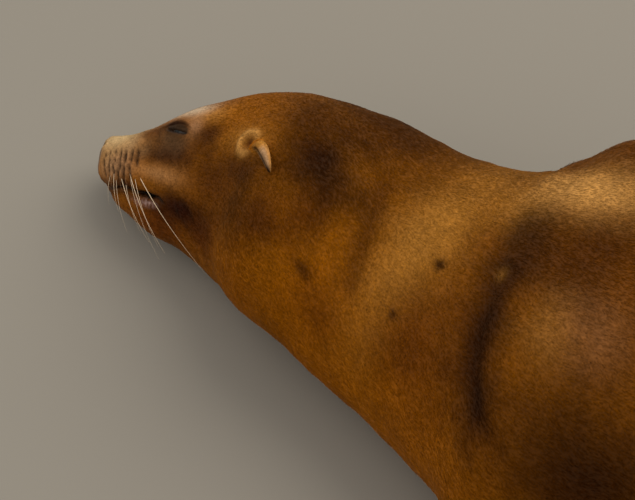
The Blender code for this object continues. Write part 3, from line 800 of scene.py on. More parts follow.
def ear_ring(share, turn, side):
    """A point of an ear: a thin leaf rolled round a slot that opens towards the throat."""
    along, around = EAR_AT[0], side * EAR_AT[1]
    out = outward(along, around)
    back = unit(surface(along + EAR_REACH[0], around + side * EAR_REACH[1]) - surface(along, around))
    across = np.cross(out, back)
    wide, thick, lift = (column(EAR_ROWS, k, share) - cut for k, cut in ((1, 0.0002), (2, 0.0003), (3, 0)))
    foot = surface(along + share * EAR_REACH[0], around + share * side * EAR_REACH[1])
    slot = 1 - 0.56 * bell(from_slot(turn, side), 0.50) * ease(share, 0.10, 0.3) * (1 - ease(share, 0.9, 1))
    bend = side * EAR_BEND * np.sin(np.pi * np.clip(share, 0, 1))
    point = foot + out * lift[..., None] + across * (np.cos(turn) * wide * slot + bend)[..., None]
    point = point + out * (np.sin(turn) * thick * slot)[..., None]
    point[..., 2] = np.maximum(point[..., 2], FLOOR_GAP)
    return point


def closed_faces(rows, count):
    """The faces of a closed tube of rings, with a flat face at each end."""
    faces = [tuple(range(count))[::-1], tuple((rows - 1) * count + j for j in range(count))]
    sides = [grid_faces(i * count, (i + 1) * count, count, count) for i in range(rows - 1)]
    return sum(sides, []) + faces


def mesh_of(name, points, faces):
    """A mesh of faces with any number of corners."""
    mesh = bpy.data.meshes.new(name)
    mesh.from_pydata([tuple(p) for p in points], [], faces)
    mesh.update()
    return mesh


def linked(name, data):
    """A new object in the scene."""
    obj = bpy.data.objects.new(name, data)
    bpy.context.scene.collection.objects.link(obj)
    return obj


def values_of(items, name, width=1, kind=float):
    """One attribute of every item as an array, width numbers to a row."""
    values = np.empty(len(items) * width, kind)
    items.foreach_get(name, values)
    return values.reshape(-1, width) if width > 1 else values


def tree_of(points):
    """A tree to find the nearest of these points in."""
    tree = KDTree(len(points))
    for index, point in enumerate(points):
        tree.insert(point, index)
    tree.balance()
    return tree


def facing_out(mesh):
    """Turns the mesh's faces to look outwards."""
    mesh.calc_loop_triangles()
    corners = values_of(mesh.vertices, "co", 3)[values_of(mesh.loop_triangles, "vertices", 3, np.int32)]
    if np.linalg.det(corners).sum() < 0:
        mesh.flip_normals()
    return mesh


def uv_of(kind, along, around):
    """The place on the map of points whose place on the form is known. around is degrees, -180 to 180."""
    u, v = np.empty(len(along)), np.empty(len(along))
    body = kind == BODY
    left, width, low, height = UV_BODY
    u[body] = left + width * (around[body] + 180) / 360
    v[body] = low + height * along[body] / TAIL_TIP
    for limb, (low, height) in UV_LIMBS.items():
        here = kind == limb
        u[here] = UV_LIMB_LEFT + UV_LIMB_WIDTH * (around[here] + 180) / 360
        v[here] = low + height * along[here]
    return u, v


def write_map(mesh, places):
    """The mesh's map, from the place of each corner."""
    layer = mesh.uv_layers.new(name="OFBake")
    layer.data.foreach_set("uv", places.astype(np.float32).ravel())


def wrapped_uv(mesh, kind, along, around):
    """Writes the map of one part, keeping each face whole where the columns close on themselves."""
    loops = values_of(mesh.loops, "vertex_index", kind=np.int32)
    starts = values_of(mesh.polygons, "loop_start", kind=np.int32)
    totals = values_of(mesh.polygons, "loop_total", kind=np.int32)
    u, v = (values[loops] for values in uv_of(np.full(len(along), kind), along, around))
    width = UV_BODY[1] if kind == BODY else UV_LIMB_WIDTH
    furthest = np.repeat(np.maximum.reduceat(u, starts), totals)
    small = np.repeat(totals < 6, totals)
    write_map(mesh, np.stack([np.where(small & (furthest - u > width / 2), u + width, u), v], 1))


# A pair of flippers: ring, ridges, rows, columns, depth of its coat at the root, kinds.
FLIPPERS = ((fore_ring, fore_ridges, 52, 44, 0.0022, FORE), (hind_ring, hind_ridges, 46, 80, 0.0014, HIND))


def build_skin_parts():
    """Each part of the skin as an object, and what is known of every point of them all: point, kind, along,
    around, way, bareness."""
    parts, known = [], []

    def keep(kind, points, faces, along, around, way, bare):
        points = points.reshape(-1, 3) + SHIFT
        name = "skin" if kind == BODY else f"limb_{kind}"
        mesh = facing_out(mesh_of(name, points, faces))
        wrapped_uv(mesh, kind, along, around)
        parts.append(linked(name, mesh))
        known.append((points, np.full(len(points), kind), along, around, way.reshape(-1, 3), bare))

    keep(BODY, *body_skin())
    for ring, ridges, rows, count, depth, kinds in FLIPPERS:
        shares = np.linspace(0, 1, rows)
        turns = np.arange(count) * 2 * np.pi / count
        share = np.repeat(shares, count)
        degrees = np.tile(np.degrees(turns) - 180, rows)
        for side, kind in zip((-1, 1), kinds):  # a flipper's side is that of Y
            points, way = limb_skin(ring, shares, turns, side, depth, ridges)
            keep(kind, points, closed_faces(rows, count), share, degrees, way, ease(share, 0.42, 0.62))
    shares = np.linspace(-0.08, 1, EAR_RINGS)
    turns = np.arange(EAR_COLUMNS) * 2 * np.pi / EAR_COLUMNS
    degrees = np.tile(np.degrees(turns) - 180, EAR_RINGS)
    share, turn = np.meshgrid(shares, turns, indexing="ij")
    flat = np.clip(share.ravel(), 0, 1)
    for side, kind in ((1, EAR_LEFT), (-1, EAR_RIGHT)):
        points = ear_ring(share, turn, side)
        faces = closed_faces(EAR_RINGS, EAR_COLUMNS)
        keep(kind, points, faces, flat, degrees, unit(np.gradient(points, axis=0)), np.zeros(len(flat)))
    return parts, [np.concatenate(values) for values in zip(*known)]


def join_skin(parts):
    """One closed skin of the body and its limbs, by Boolean union."""
    skin = parts[0]
    for limb in parts[1:]:
        union = skin.modifiers.new("join_" + limb.name, "BOOLEAN")
        union.operation = "UNION"
        union.solver = "MANIFOLD"
        union.object = limb
    graph = bpy.context.evaluated_depsgraph_get()
    joined = bpy.data.meshes.new_from_object(skin.evaluated_get(graph))
    skin.modifiers.clear()
    skin.data = joined
    for limb in parts[1:]:
        bpy.data.objects.remove(limb)
    return skin


def relax(values, edges, weight, steps):
    """Moves each point's values towards the mean of its neighbours', this many times."""
    count = len(values)
    degree = np.maximum(np.bincount(edges.ravel(), minlength=count), 1)
    for _ in range(steps):
        for k in range(3):
            total = np.bincount(edges[:, 0], values[edges[:, 1], k], count)
            total += np.bincount(edges[:, 1], values[edges[:, 0], k], count)
            values[:, k] += (total / degree - values[:, k]) * weight


def smooth_joints(skin, source, source_kind):
    """Rounds the skin where a limb joins it.

    Returns its points, the point of source that each comes from, its edges, and how far each point is from
    where a flipper joins the body. source is what the points were before the parts were joined."""
    co = values_of(skin.data.vertices, "co", 3)
    edges = values_of(skin.data.edges, "vertices", 2, np.int32)
    tree = tree_of(source)
    found = np.array([tree.find(point)[1:] for point in co])
    nearest = found[:, 0].astype(int)
    kind = source_kind[nearest]
    at_joint = found[:, 1] > 1e-6
    at_joint[edges[kind[edges[:, 0]] != kind[edges[:, 1]]].ravel()] = True
    tree = tree_of(co[at_joint])
    from_joint = np.array([tree.find(point)[2] for point in co])
    ears = co[np.isin(kind, EARS)]
    right = ears[:, 1] < np.median(ears[:, 1])
    by_ear = np.zeros(len(co), bool)
    for ear in (ears[right], ears[~right]):
        by_ear |= np.linalg.norm(co - ear.mean(0), axis=1) < EAR_ZONE
    radius = np.where(by_ear, EAR_ROUNDING, FLIPPER_ROUNDING)
    weight = (1 - ease(from_joint, radius * 0.3, radius)) * ease(co[:, 2], 0.0006, 0.004)
    relax(co, edges, 0.5 * weight, 60)
    skin.data.vertices.foreach_set("co", co.ravel())
    skin.data.update()
    return co, nearest, edges, np.where(by_ear, 1.0, from_joint)


# ---------------------------------------------------------------- what is known of each point of the skin
def laid_on(normal, way):
    """The way laid flat on the surface, as a unit vector."""
    return unit(way - normal * (way * normal).sum(1)[:, None])


def flipper_colour(share, turn, drift, spots, first, last):
    """Dark fur that gives way to bare skin between two shares of the flipper, blacker at its edges."""
    fur = DARK_BROWN * 1.15
    base = fur + (FLIPPER_SKIN - fur) * ease(share + drift, first, last)[:, None]
    edge = np.abs(np.cos(turn))[:, None] ** 6
    return (base + (BLACK_SKIN - base) * 0.5 * edge) * (1 + spots)[:, None]


def ear_colour(share, turn, left):
    """Gold at the root, then pale, with painted shade in a slot on the throat side that widens towards the
    tip, and a darker tip.
    """
    pale = (ease(share, 0.34, 0.60) * (1 - 0.3 * ease(share, 0.85, 1.0)))[:, None]
    base = ORANGE_GOLD + (LIGHT_TAN - ORANGE_GOLD) * ease(share, 0.0, 0.25)[:, None]
    edge = ease(np.where(left, 1, -1) * np.cos(turn), 0.35, 0.95)[:, None]
    base = base + (EAR_PALE - base) * pale * (1 - 0.75 * edge)
    # painted shade in the slot, the ear's opening on the throat side
    wide = 0.80 + 0.75 * ease(share, 0.45, 0.80)
    slot = bell(np.where(left, from_slot(turn, 1), from_slot(turn, -1)), wide) * ease(share, 0.05, 0.25)
    tip = ease(share, 0.84, 1.0) * 0.5
    return base + (DEEP_BROWN - base) * np.clip(0.95 * slot + tip, 0, 1)[:, None]


def describe(skin, points, kind, along, around, way, bare):
    """For each point of the skin: kind, place, normal, way of the coat, colour, map place, bareness."""
    normal = values_of(skin.data.vertex_normals, "vector", 3)
    # hairs on the sides run a little downwards as they run back
    body = kind == BODY
    sweep = np.where(body, -0.22 * np.sin(np.radians(around)), 0.0)
    way = laid_on(normal, way + np.cross(normal, way) * sweep[:, None])
    girth = np.ones(len(points))
    girth[body] = np.maximum(reach(along[body], around[body]), LEAST_GIRTH)
    colour = np.empty((len(points), 3))
    colour[body] = body_colour(along[body], around[body], girth[body], points[body])
    turn = np.radians(around + 180)
    drift = 0.06 * waves(points, 0.030, 8)
    spots = 0.14 * waves(points, 0.018, 9) + 0.10 * waves(points, 0.006, 10)
    for kinds, first, last in ((FORE, 0.30, 0.62), (HIND, 0.05, 0.45)):
        here = np.isin(kind, kinds)
        colour[here] = flipper_colour(along[here], turn[here], drift[here], spots[here], first, last)
    ear = np.isin(kind, EARS)
    colour[ear] = ear_colour(along[ear], turn[ear], kind[ear] == EAR_LEFT)
    u, v = uv_of(kind, along, around)
    round_it = np.radians(around)
    spans = ((girth, 0.07), (girth, 0.02), (1.0, 0.45))
    wide, high, long = (np.where(body, size, limb) for size, limb in spans)
    lie = np.stack([np.cos(round_it) * wide, np.sin(round_it) * high, along * long], 1)
    return dict(kind=kind, along=along, normal=normal, way=way, colour=colour, u=u, v=v, bare=bare, lie=lie,
                points=points)


def point_colours(mesh, colour):
    """Writes the markings that the materials read."""
    layer = mesh.color_attributes.new("Marking", "FLOAT_COLOR", "POINT")
    rgba = np.concatenate([colour, np.ones((len(colour), 1))], 1)
    layer.data.foreach_set("color", rgba.astype(np.float32).ravel())


def point_numbers(mesh, name, values):
    """Writes a number or a vector for each point, for the materials."""
    layer = mesh.attributes.new(name, "FLOAT" if values.ndim == 1 else "FLOAT_VECTOR", "POINT")
    layer.data.foreach_set("value" if values.ndim == 1 else "vector", values.astype(np.float32).ravel())


# ---------------------------------------------------------------- the coat: thin closed tufts
# Length of the tufts by the place along the body.
TUFT_LENGTH = ((0.0, 0.0016), (0.04, 0.0020), (0.09, 0.0028), (0.15, 0.0036), (0.25, 0.0042), (0.40, 0.0048),
               (0.65, 0.0060), (1.50, 0.0075), (TAIL_TIP, 0.0045))
LIMB_TUFTS = ((FORE, 0.0060), (HIND, 0.0042), (EARS, 0.0030))  # length at the root, half as long at the tip
# Piece, kinds of skin, from and to along the body, number of tufts.
COAT = (
    ("coat_head", (BODY, *EARS), -0.1, 0.225, 32500),
    ("coat_nape", (BODY,), 0.225, 0.350, 32500),
    ("coat_neck", (BODY,), 0.350, 0.480, 32500),
    ("coat_shoulders", (BODY,), 0.480, 0.640, 32500),
    ("coat_chest", (BODY,), 0.640, 0.860, 30000),
    ("coat_belly", (BODY,), 0.860, 1.200, 31000),
    ("coat_hindquarters", (BODY,), 1.200, TAIL_TIP + 1, 26000),
    ("coat_flippers", FORE + HIND, -0.1, 1.1, 15000),
)
# A tuft's five points: share of its length forward, of its width aside, of its lift. The fourth is its ridge.
# Then how far the ridge stands up, the faces, how dark each point is, and where it lies on the tuft's patch.
TUFT = np.array(((-0.18, 0.0, -0.35), (0.30, 0.5, 0.42), (0.30, -0.5, 0.42), (0.34, 0.0, 0.46),
                 (1.0, 0.0, 1.0)))
TUFT_RIDGE = np.array((0, 0, 0, 0.00012, 0))
TUFT_FACES = np.array(((4, 1, 3), (4, 3, 2), (4, 2, 1), (0, 3, 1), (0, 2, 3), (0, 1, 2)))
TUFT_SHADE = np.array((0.88, 0.97, 0.97, 1.00, 1.09))
TUFT_PATCH = np.array(((0.0, -0.0015), (-0.0015, 0.0), (0.0015, 0.0), (0.0, 0.0002), (0.0, 0.0015)))
PATCH_SHIFT = 0.0006  # how far at most a tuft's patch of the map lies from its root's place
TUFT_LOWEST = 0.0003  # over the floor


def fast_mesh(name, points, triangles):
    """A smooth mesh of triangles."""
    mesh = bpy.data.meshes.new(name)
    mesh.vertices.add(len(points))
    mesh.vertices.foreach_set("co", points.astype(np.float32).ravel())
    mesh.loops.add(triangles.size)
    mesh.loops.foreach_set("vertex_index", triangles.astype(np.int32).ravel())
    mesh.polygons.add(len(triangles))
    mesh.polygons.foreach_set("loop_start", np.arange(0, triangles.size, 3, dtype=np.int32))
    mesh.update(calc_edges=True)
    mesh.shade_smooth()
    return mesh


def tuft_roots(tri, weight, count):
    """Roots spread evenly by weight: for each its triangle's corners and the shares it takes of them."""
    total = np.cumsum(weight)
    pick = np.searchsorted(total, RNG.random(count) * total[-1], side="right")
    share = RNG.random((count, 2))
    share = np.where(share.sum(1, keepdims=True) > 1, 1 - share, share)
    return tri[np.minimum(pick, len(tri) - 1)], np.stack([1 - share.sum(1), share[:, 0], share[:, 1]], 1)


def tuft_sizes(facts):
    """The length of a tuft at each point of the skin, and how high its tip stands."""
    points, kind, along = facts["points"], facts["kind"], facts["along"]
    body = kind == BODY
    length = np.where(body, column(TUFT_LENGTH, 1, along), 0)
    for kinds, most in LIMB_TUFTS:
        here = np.isin(kind, kinds)
        length[here] = most * (1 - 0.5 * along[here])
    from_eye = np.min([np.linalg.norm(points - (eye_centre(side) + SHIFT), axis=1) for side in (1, -1)], 0)
    length *= 0.55 + 0.45 * ease(from_eye, 0.022, 0.045)
    return length, np.where(body, column(COAT_DEPTH, 1, along) * 0.75, 0.0006)


def tufts(name, corner, mix, facts, length, lift):
    """One piece of the coat, from the corners and shares of its roots."""
    count = len(corner)

    def blend(values):
        return (values[corner] * (mix[..., None] if values.ndim == 2 else mix)).sum(1)

    root, normal, way = blend(facts["points"]), unit(blend(facts["normal"])), blend(facts["way"])
    swing = 0.20 * waves(root, 0.035, 11) + 0.16 * waves(root, 0.010, 12) + RNG.normal(0, 0.13, count)
    way = laid_on(normal, way + np.cross(normal, way) * swing[:, None])
    aside = np.cross(normal, way)
    long = blend(length) * RNG.uniform(0.75, 1.25, count)
    wide = (long * 0.080 + 0.00032) * RNG.uniform(0.8, 1.2, count)
    high = blend(lift) * RNG.uniform(0.45, 1.05, count)
    shape = (root[:, None] + way[:, None] * (TUFT[None, :, 0] * long[:, None])[..., None]
             + aside[:, None] * (TUFT[None, :, 1] * wide[:, None])[..., None]
             + normal[:, None] * (TUFT[None, :, 2] * high[:, None] + TUFT_RIDGE)[..., None])
    shape[..., 2] = np.maximum(shape[..., 2], TUFT_LOWEST)
    faces = (TUFT_FACES[None] + 5 * np.arange(count)[:, None, None]).reshape(-1, 3)
    mesh = fast_mesh(name, shape.reshape(-1, 3), faces)
    # the tufts take the light as the lie of the coat does, each a little its own way
    facing = normal + aside * RNG.normal(0, 0.15, (count, 1)) + way * RNG.normal(0, 0.15, (count, 1))
    mesh.normals_split_custom_set_from_vertices(np.repeat(unit(facing), 5, axis=0))
    tint = 1 + RNG.normal(0, 0.12, count) + 0.05 * waves(root, 0.004, 13)
    colour = blend(facts["colour"]) * np.clip(tint, 0.55, 1.6)[:, None]
    point_colours(mesh, np.clip(colour[:, None] * TUFT_SHADE[None, :, None], 0, 0.95).reshape(-1, 3))
    best = corner[np.arange(count), mix.argmax(1)]
    middle = np.stack([facts["u"][best], facts["v"][best]], 1)[:, None]
    patch = (middle + RNG.uniform(-PATCH_SHIFT, PATCH_SHIFT, (count, 1, 2)) + TUFT_PATCH[None]).reshape(-1, 2)
    write_map(mesh, patch[faces.ravel()])
    return linked(name, mesh)


def grow_coat(skin, facts):
    """Makes the pieces of the coat, with roots spread evenly over the skin by area."""
    skin.data.calc_loop_triangles()
    tri = values_of(skin.data.loop_triangles, "vertices", 3, np.int32)
    points, kind = facts["points"], facts["kind"]
    a, b, c = (points[tri[:, i]] for i in range(3))
    area = np.linalg.norm(np.cross(b - a, c - a), axis=1) / 2
    hairy = (1 - facts["bare"]) * ease(points[:, 2], 0.0010, 0.0030)
    zone = np.where(np.isin(kind, EARS), 0.0, facts["along"])[tri[:, 0]]
    length, lift = tuft_sizes(facts)
    for name, kinds, low, high, count in COAT:
        here = np.isin(kind[tri[:, 0]], kinds) & (zone >= low) & (zone < high)
        corner, mix = tuft_roots(tri, np.where(here, area * hairy[tri].mean(1), 0), count)
        yield tufts(name, corner, mix, facts, length, lift)


# ---------------------------------------------------------------- materials
def shader_of(name, roughness, **fixed):
    """A material, its nodes and its shader, with fixed values on the shader's own sockets."""
    made = bpy.data.materials.new(name)
    made.use_nodes = True
    tree = made.node_tree
    shader = tree.nodes["Principled BSDF"]
    shader.inputs["Roughness"].default_value = roughness
    for socket, value in fixed.items():
        shader.inputs[socket.replace("_", " ")].default_value = value
    return made, tree, shader


def attribute(tree, name, output):
    node = tree.nodes.new("ShaderNodeAttribute")
    node.attribute_type = "GEOMETRY"
    node.attribute_name = name
    return node.outputs[output]


def in_space(tree):
    """The place of a point in the object's own space."""
    return tree.nodes.new("ShaderNodeTexCoord").outputs["Object"]


def coloured(tree, shader, factor=None):
    """Gives the shader the piece's markings, made lighter or darker by a factor."""
    marking = attribute(tree, "Marking", "Color")
    tree.links.new(tinted(tree, marking, factor) if factor else marking, shader.inputs["Base Color"])


def noise(tree, vector, scale, detail=3.0, stretch=(1, 1, 1)):
    mapping = tree.nodes.new("ShaderNodeMapping")
    mapping.inputs["Scale"].default_value = stretch
    tree.links.new(vector, mapping.inputs["Vector"])
    node = tree.nodes.new("ShaderNodeTexNoise")
    node.inputs["Scale"].default_value = scale
    node.inputs["Detail"].default_value = detail
    tree.links.new(mapping.outputs["Vector"], node.inputs["Vector"])
    return node.outputs["Fac"]


def maths(tree, operation, first, second):
    node = tree.nodes.new("ShaderNodeMath")
    node.operation = operation
    for socket, value in zip(node.inputs, (first, second)):
        if isinstance(value, (int, float)):
            socket.default_value = value
        else:
            tree.links.new(value, socket)
    return node.outputs[0]


def spread(tree, value, low, high):
    """Value, from 0 to 1, taken to low to high."""
    node = tree.nodes.new("ShaderNodeMapRange")
    tree.links.new(value, node.inputs["Value"])
    node.inputs["To Min"].default_value = low
    node.inputs["To Max"].default_value = high
    return node.outputs["Result"]


def tinted(tree, colour, factor):
    """The colour made lighter or darker by a factor."""
    node = tree.nodes.new("ShaderNodeVectorMath")
    node.operation = "SCALE"
    tree.links.new(colour, node.inputs[0])
    tree.links.new(factor, node.inputs["Scale"])
    return node.outputs["Vector"]


def bumped(tree, shader, height, distance, strength=1.0):
    node = tree.nodes.new("ShaderNodeBump")
    node.inputs["Distance"].default_value = distance
    node.inputs["Strength"].default_value = strength
    tree.links.new(height, node.inputs["Height"])
    tree.links.new(node.outputs["Normal"], shader.inputs["Normal"])


GRAIN = (0.35, 1.60)  # how far darker and paler the finest hairs of the coat are
WARM = (1.0, 0.60, 0.25, 1)  # what the coat does to the light that glances off it


def grained(tree, place):
    """The finest hairs of the coat, as a factor of its colour."""
    return spread(tree, noise(tree, place, 430, 4.0), *GRAIN)


def coat_material():
    made, tree, shader = shader_of("short_coat", 0.58, Sheen_Weight=0.10, Sheen_Roughness=0.22,
                                   Sheen_Tint=WARM, Specular_IOR_Level=0.03, Specular_Tint=WARM)
    coloured(tree, shader, grained(tree, in_space(tree)))
    return made


def skin_material():
    """Under the coat: fine hairs that run with the body. Where it is bare: leathery, cracked and smoother."""
    made, tree, shader = shader_of("hide", 0.55, Sheen_Weight=0.02, Sheen_Roughness=0.5, Sheen_Tint=WARM,
                                   Specular_IOR_Level=0.12, Specular_Tint=(1.0, 0.75, 0.50, 1))
    lie = attribute(tree, "lie", "Vector")
    bare = attribute(tree, "bare", "Fac")
    hairs = noise(tree, lie, 900, 2.0, (1, 1, 0.10))
    clumps = noise(tree, lie, 220, 3.0, (1, 1, 0.22))
    place = in_space(tree)
    cells = tree.nodes.new("ShaderNodeTexVoronoi")
    cells.feature = "DISTANCE_TO_EDGE"
    cells.inputs["Scale"].default_value = 420
    tree.links.new(place, cells.inputs["Vector"])
    cracks = spread(tree, cells.outputs["Distance"], 0.0, 2.2)
    hide = maths(tree, "ADD", cracks, noise(tree, place, 260, 4.0))
    coat = maths(tree, "ADD", hairs, clumps)
    height = tree.nodes.new("ShaderNodeMix")
    for value, socket in ((bare, "Factor"), (coat, "A"), (hide, "B")):
        tree.links.new(value, height.inputs[socket])
    bumped(tree, shader, height.outputs["Result"], 0.0002)
    coloured(tree, shader, maths(tree, "MULTIPLY", spread(tree, coat, 0.86, 1.06), grained(tree, place)))
    tree.links.new(spread(tree, bare, 0.60, 0.36), shader.inputs["Roughness"])
    return made


def eye_material():
    """Nearly black and wet. The colour goes out from the pupil by the angle off the eye's axis."""
    made, tree, shader = shader_of("wet_eye", 0.10, Coat_Weight=0.0,
                                   Specular_IOR_Level=0.28, Specular_Tint=(1.0, 0.92, 0.82, 1))
    ramp = tree.nodes.new("ShaderNodeValToRGB")
    stops = ramp.color_ramp.elements
    stops[0].position, stops[0].color = 0.20, (0.002, 0.002, 0.002, 1)
    stops[1].position, stops[1].color = 0.95, (0.030, 0.014, 0.009, 1)
    for position, colour in ((0.30, (0.012, 0.005, 0.003, 1)), (0.55, (0.005, 0.003, 0.002, 1))):
        stops.new(position).color = colour
    wander = spread(tree, noise(tree, in_space(tree), 600, 3.0), -0.05, 0.05)
    tree.links.new(maths(tree, "ADD", attribute(tree, "off_axis", "Fac"), wander), ramp.inputs["Fac"])
    tree.links.new(ramp.outputs["Color"], shader.inputs["Base Color"])
    return made


def horn_material():
    made, tree, shader = shader_of("horn", 0.35, Coat_Weight=0.15, Coat_Roughness=0.3)
    grain = noise(tree, in_space(tree), 700, 4.0, (0.3, 1, 1))
    coloured(tree, shader, spread(tree, grain, 0.6, 1.5))
    tree.links.new(spread(tree, grain, 0.25, 0.5), shader.inputs["Roughness"])
    bumped(tree, shader, grain, 0.0003, 0.6)
    return made


def whisker_material():
    made, tree, shader = shader_of("whisker", 0.32, Specular_IOR_Level=0.6)
    coloured(tree, shader)
    return made


# ---------------------------------------------------------------- eyes, claws and whiskers
EYE_RINGS, EYE_SIDES = 40, 56
EYE_SIZE = 0.985  # of the solid that it replaces
CLAW_RINGS, CLAW_SIDES = 14, 16
WHISKER_RINGS, WHISKER_SIDES = 15, 6


def tube_arrays(rings):
    """Points and triangles of a closed tube through rings of points (rows, count, 3)."""
    rows, count = rings.shape[:2]
    points = np.concatenate([rings.reshape(-1, 3), rings[0].mean(0)[None], rings[-1].mean(0)[None]])
    faces = []
    for i in range(rows - 1):
        for a, b, c, d in grid_faces(i * count, (i + 1) * count, count, count):
            faces += [(a, b, c), (a, c, d)]
    last = (rows - 1) * count
    for j in range(count):
        k = (j + 1) % count
        faces += [(rows * count, k, j), (rows * count + 1, last + j, last + k)]
    return points, np.array(faces)


def gathered(tubes):
    """Several tubes, each with its points, triangles and colours, as one."""
    points, faces, colours = zip(*tubes)
    starts = np.cumsum([0] + [len(some) for some in points[:-1]])
    faces = [some + start for some, start in zip(faces, starts)]
    return np.concatenate(points), np.concatenate(faces), np.concatenate(colours)


def finish_piece(obj, material, slot, *nodes):
    """Gives a piece its material, says what it rides on and hides the parts it replaces."""
    obj.data.materials.append(material)
    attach(obj, "root")
    if nodes:
        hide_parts(*nodes)


def make_eyes():
    finish = eye_material()
    for name, side in (("left", 1), ("right", -1)):
        low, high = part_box("eye_" + name)
        centre = np.array((low + high) / 2)
        axis = outward(EYE_AT[0], side * EYE_AT[1])
        lean = unit(np.cross(axis, (0, 0, 1.0)))
        upper = np.cross(lean, axis)
        theta = np.linspace(0.02, np.pi - 0.02, EYE_RINGS)[:, None]
        turn = (np.arange(EYE_SIDES) * 2 * np.pi / EYE_SIDES)[None, :]
        bulge = 1 + 0.015 * bell(theta, 0.45)
        ball = (np.cos(theta)[..., None] * axis + (np.sin(theta) * np.cos(turn))[..., None] * lean
                + (np.sin(theta) * np.sin(turn))[..., None] * upper)
        points, faces = tube_arrays(centre + ball * bulge[..., None] * EYE_RADIUS * EYE_SIZE)
        eye = linked("eyeball_" + name, facing_out(fast_mesh("eyeball_" + name, points, faces)))
        finish_piece(eye, finish, "eye", "eye_" + name)
        off_axis = np.arccos(np.clip(unit(points - centre) @ axis, -1, 1))
        point_numbers(eye.data, "off_axis", np.clip(off_axis / 1.1, 0, 1))


def claw(side, toe):
    """The points, triangles and colours of one claw."""
    turns = np.arange(CLAW_SIDES) * 2 * np.pi / CLAW_SIDES
    turn = math.acos((toe - 0.5) * 2 / TOES - 1)
    ahead = hind_ring(CLAW_AT + 0.1, turn, side) - hind_ring(CLAW_AT, turn, side)
    share_of = CLAW_LENGTH * 0.1 / np.linalg.norm(ahead)
    across = np.cross([0, 0, 1.0], unit(ahead))
    rings = []
    for share in np.linspace(0, 1, CLAW_RINGS):
        wide = (np.interp(share, *zip(*CLAW_ROWS)) - 0.0002) * (0.55 + 0.45 * ease(share, 0.0, 0.12))
        deep = wide * 0.6
        arch = 0.0006 * math.sin(math.pi * share)
        middle = hind_ring(CLAW_AT + share * share_of, turn, side) + [0, 0, deep + 0.0003 + arch]
        ring = np.outer(np.cos(turns) * wide, across) + np.outer(np.sin(turns) * deep, [0, 0, 1])
        rings.append(middle + ring)
    points, faces = tube_arrays(np.array(rings) + SHIFT)
    shade = np.interp(np.arange(len(points)) // CLAW_SIDES / CLAW_RINGS, [0, 0.5, 1], [0.75, 1.0, 1.5])
    return points, faces, CLAW_HORN * shade[:, None]


def make_tubes(name, tubes, material, slot, *nodes):
    """One piece of several tubes."""
    points, faces, colours = gathered(tubes)
    mesh = facing_out(fast_mesh(name, points, faces))
    point_colours(mesh, colours)
    finish_piece(linked(name, mesh), material, slot, *nodes)


def make_claws():
    finish = horn_material()
    for name, side in (("left", -1), ("right", 1)):
        nodes = [f"claw_{name}_{toe}" for toe in CLAWED]
        make_tubes("claws_" + name, [claw(side, toe) for toe in CLAWED], finish, "claw", *nodes)


# The long whiskers of the left side: along and degrees round at the root, then the way from root to tip, in
# metres back along the head, out to the left and down, and its radius at the root.
LONG_WHISKERS = (
    (0.0588, 111.8, 0.105, 0.077, 0.040, 0.00050),
    (0.0500, 114.8, 0.066, 0.072, 0.026, 0.00044),
    (0.0385, 116.0, 0.054, 0.062, 0.023, 0.00040),
    (0.0290, 111.5, 0.017, 0.036, 0.019, 0.00034),
    (0.0575, 118.5, 0.050, 0.062, 0.028, 0.00030),
    (0.0460, 123.0, 0.036, 0.050, 0.020, 0.00026),
    (0.0520, 121.0, 0.058, 0.070, 0.034, 0.00022),
    (0.0330, 119.0, 0.030, 0.052, 0.022, 0.00024),
    (0.0240, 113.0, 0.008, 0.030, 0.016, 0.00022),
)
SHORT_WHISKER = 0.00016  # the radius of the others at the root
WHISKER_LOWEST, WHISKER_TIP_LOWEST = 0.0012, 0.0015  # over the floor


def whisker_rings(root, tip, bow, radius):
    """The rings of a whisker: a curve from root to tip that bows on its way, and tapers."""
    share = np.linspace(0, 1, WHISKER_RINGS)[:, None]
    middle = (root + tip) / 2 + bow
    path = (1 - share) ** 2 * root + 2 * share * (1 - share) * middle + share**2 * tip
    path[:, 2] = np.maximum(path[:, 2], WHISKER_LOWEST)
    ahead = unit(np.gradient(path, axis=0))
    aside = unit(np.cross(ahead, (0.3, 0.2, 1.0)))
    upper = np.cross(aside, ahead)
    turns = np.arange(WHISKER_SIDES) * 2 * np.pi / WHISKER_SIDES
    size = radius * (1 - 0.85 * share)
    return path[:, None] + size[:, None] * (np.cos(turns)[None, :, None] * aside[:, None]
                                            + np.sin(turns)[None, :, None] * upper[:, None])


def whisker_paths(side):
    """Root, way to the tip and thickness of each whisker on one side: the long ones, then the short."""
    for place, angle, back, left, down, radius in LONG_WHISKERS:
        if side == 1:
            yield place, angle, (back, left, down), radius
        else:
            yield place, angle, (back * 0.9, -left * 0.35, -down * 0.2), radius
    for place, angle, row, order, _ in FOLLICLES:
        long = (0.004 + 0.0012 * order + 0.0035 * max(row - 1, 0)) * RNG.uniform(0.8, 1.2)
        yield place, angle, (long * 0.7, side * long * 0.5, long * 0.25), SHORT_WHISKER


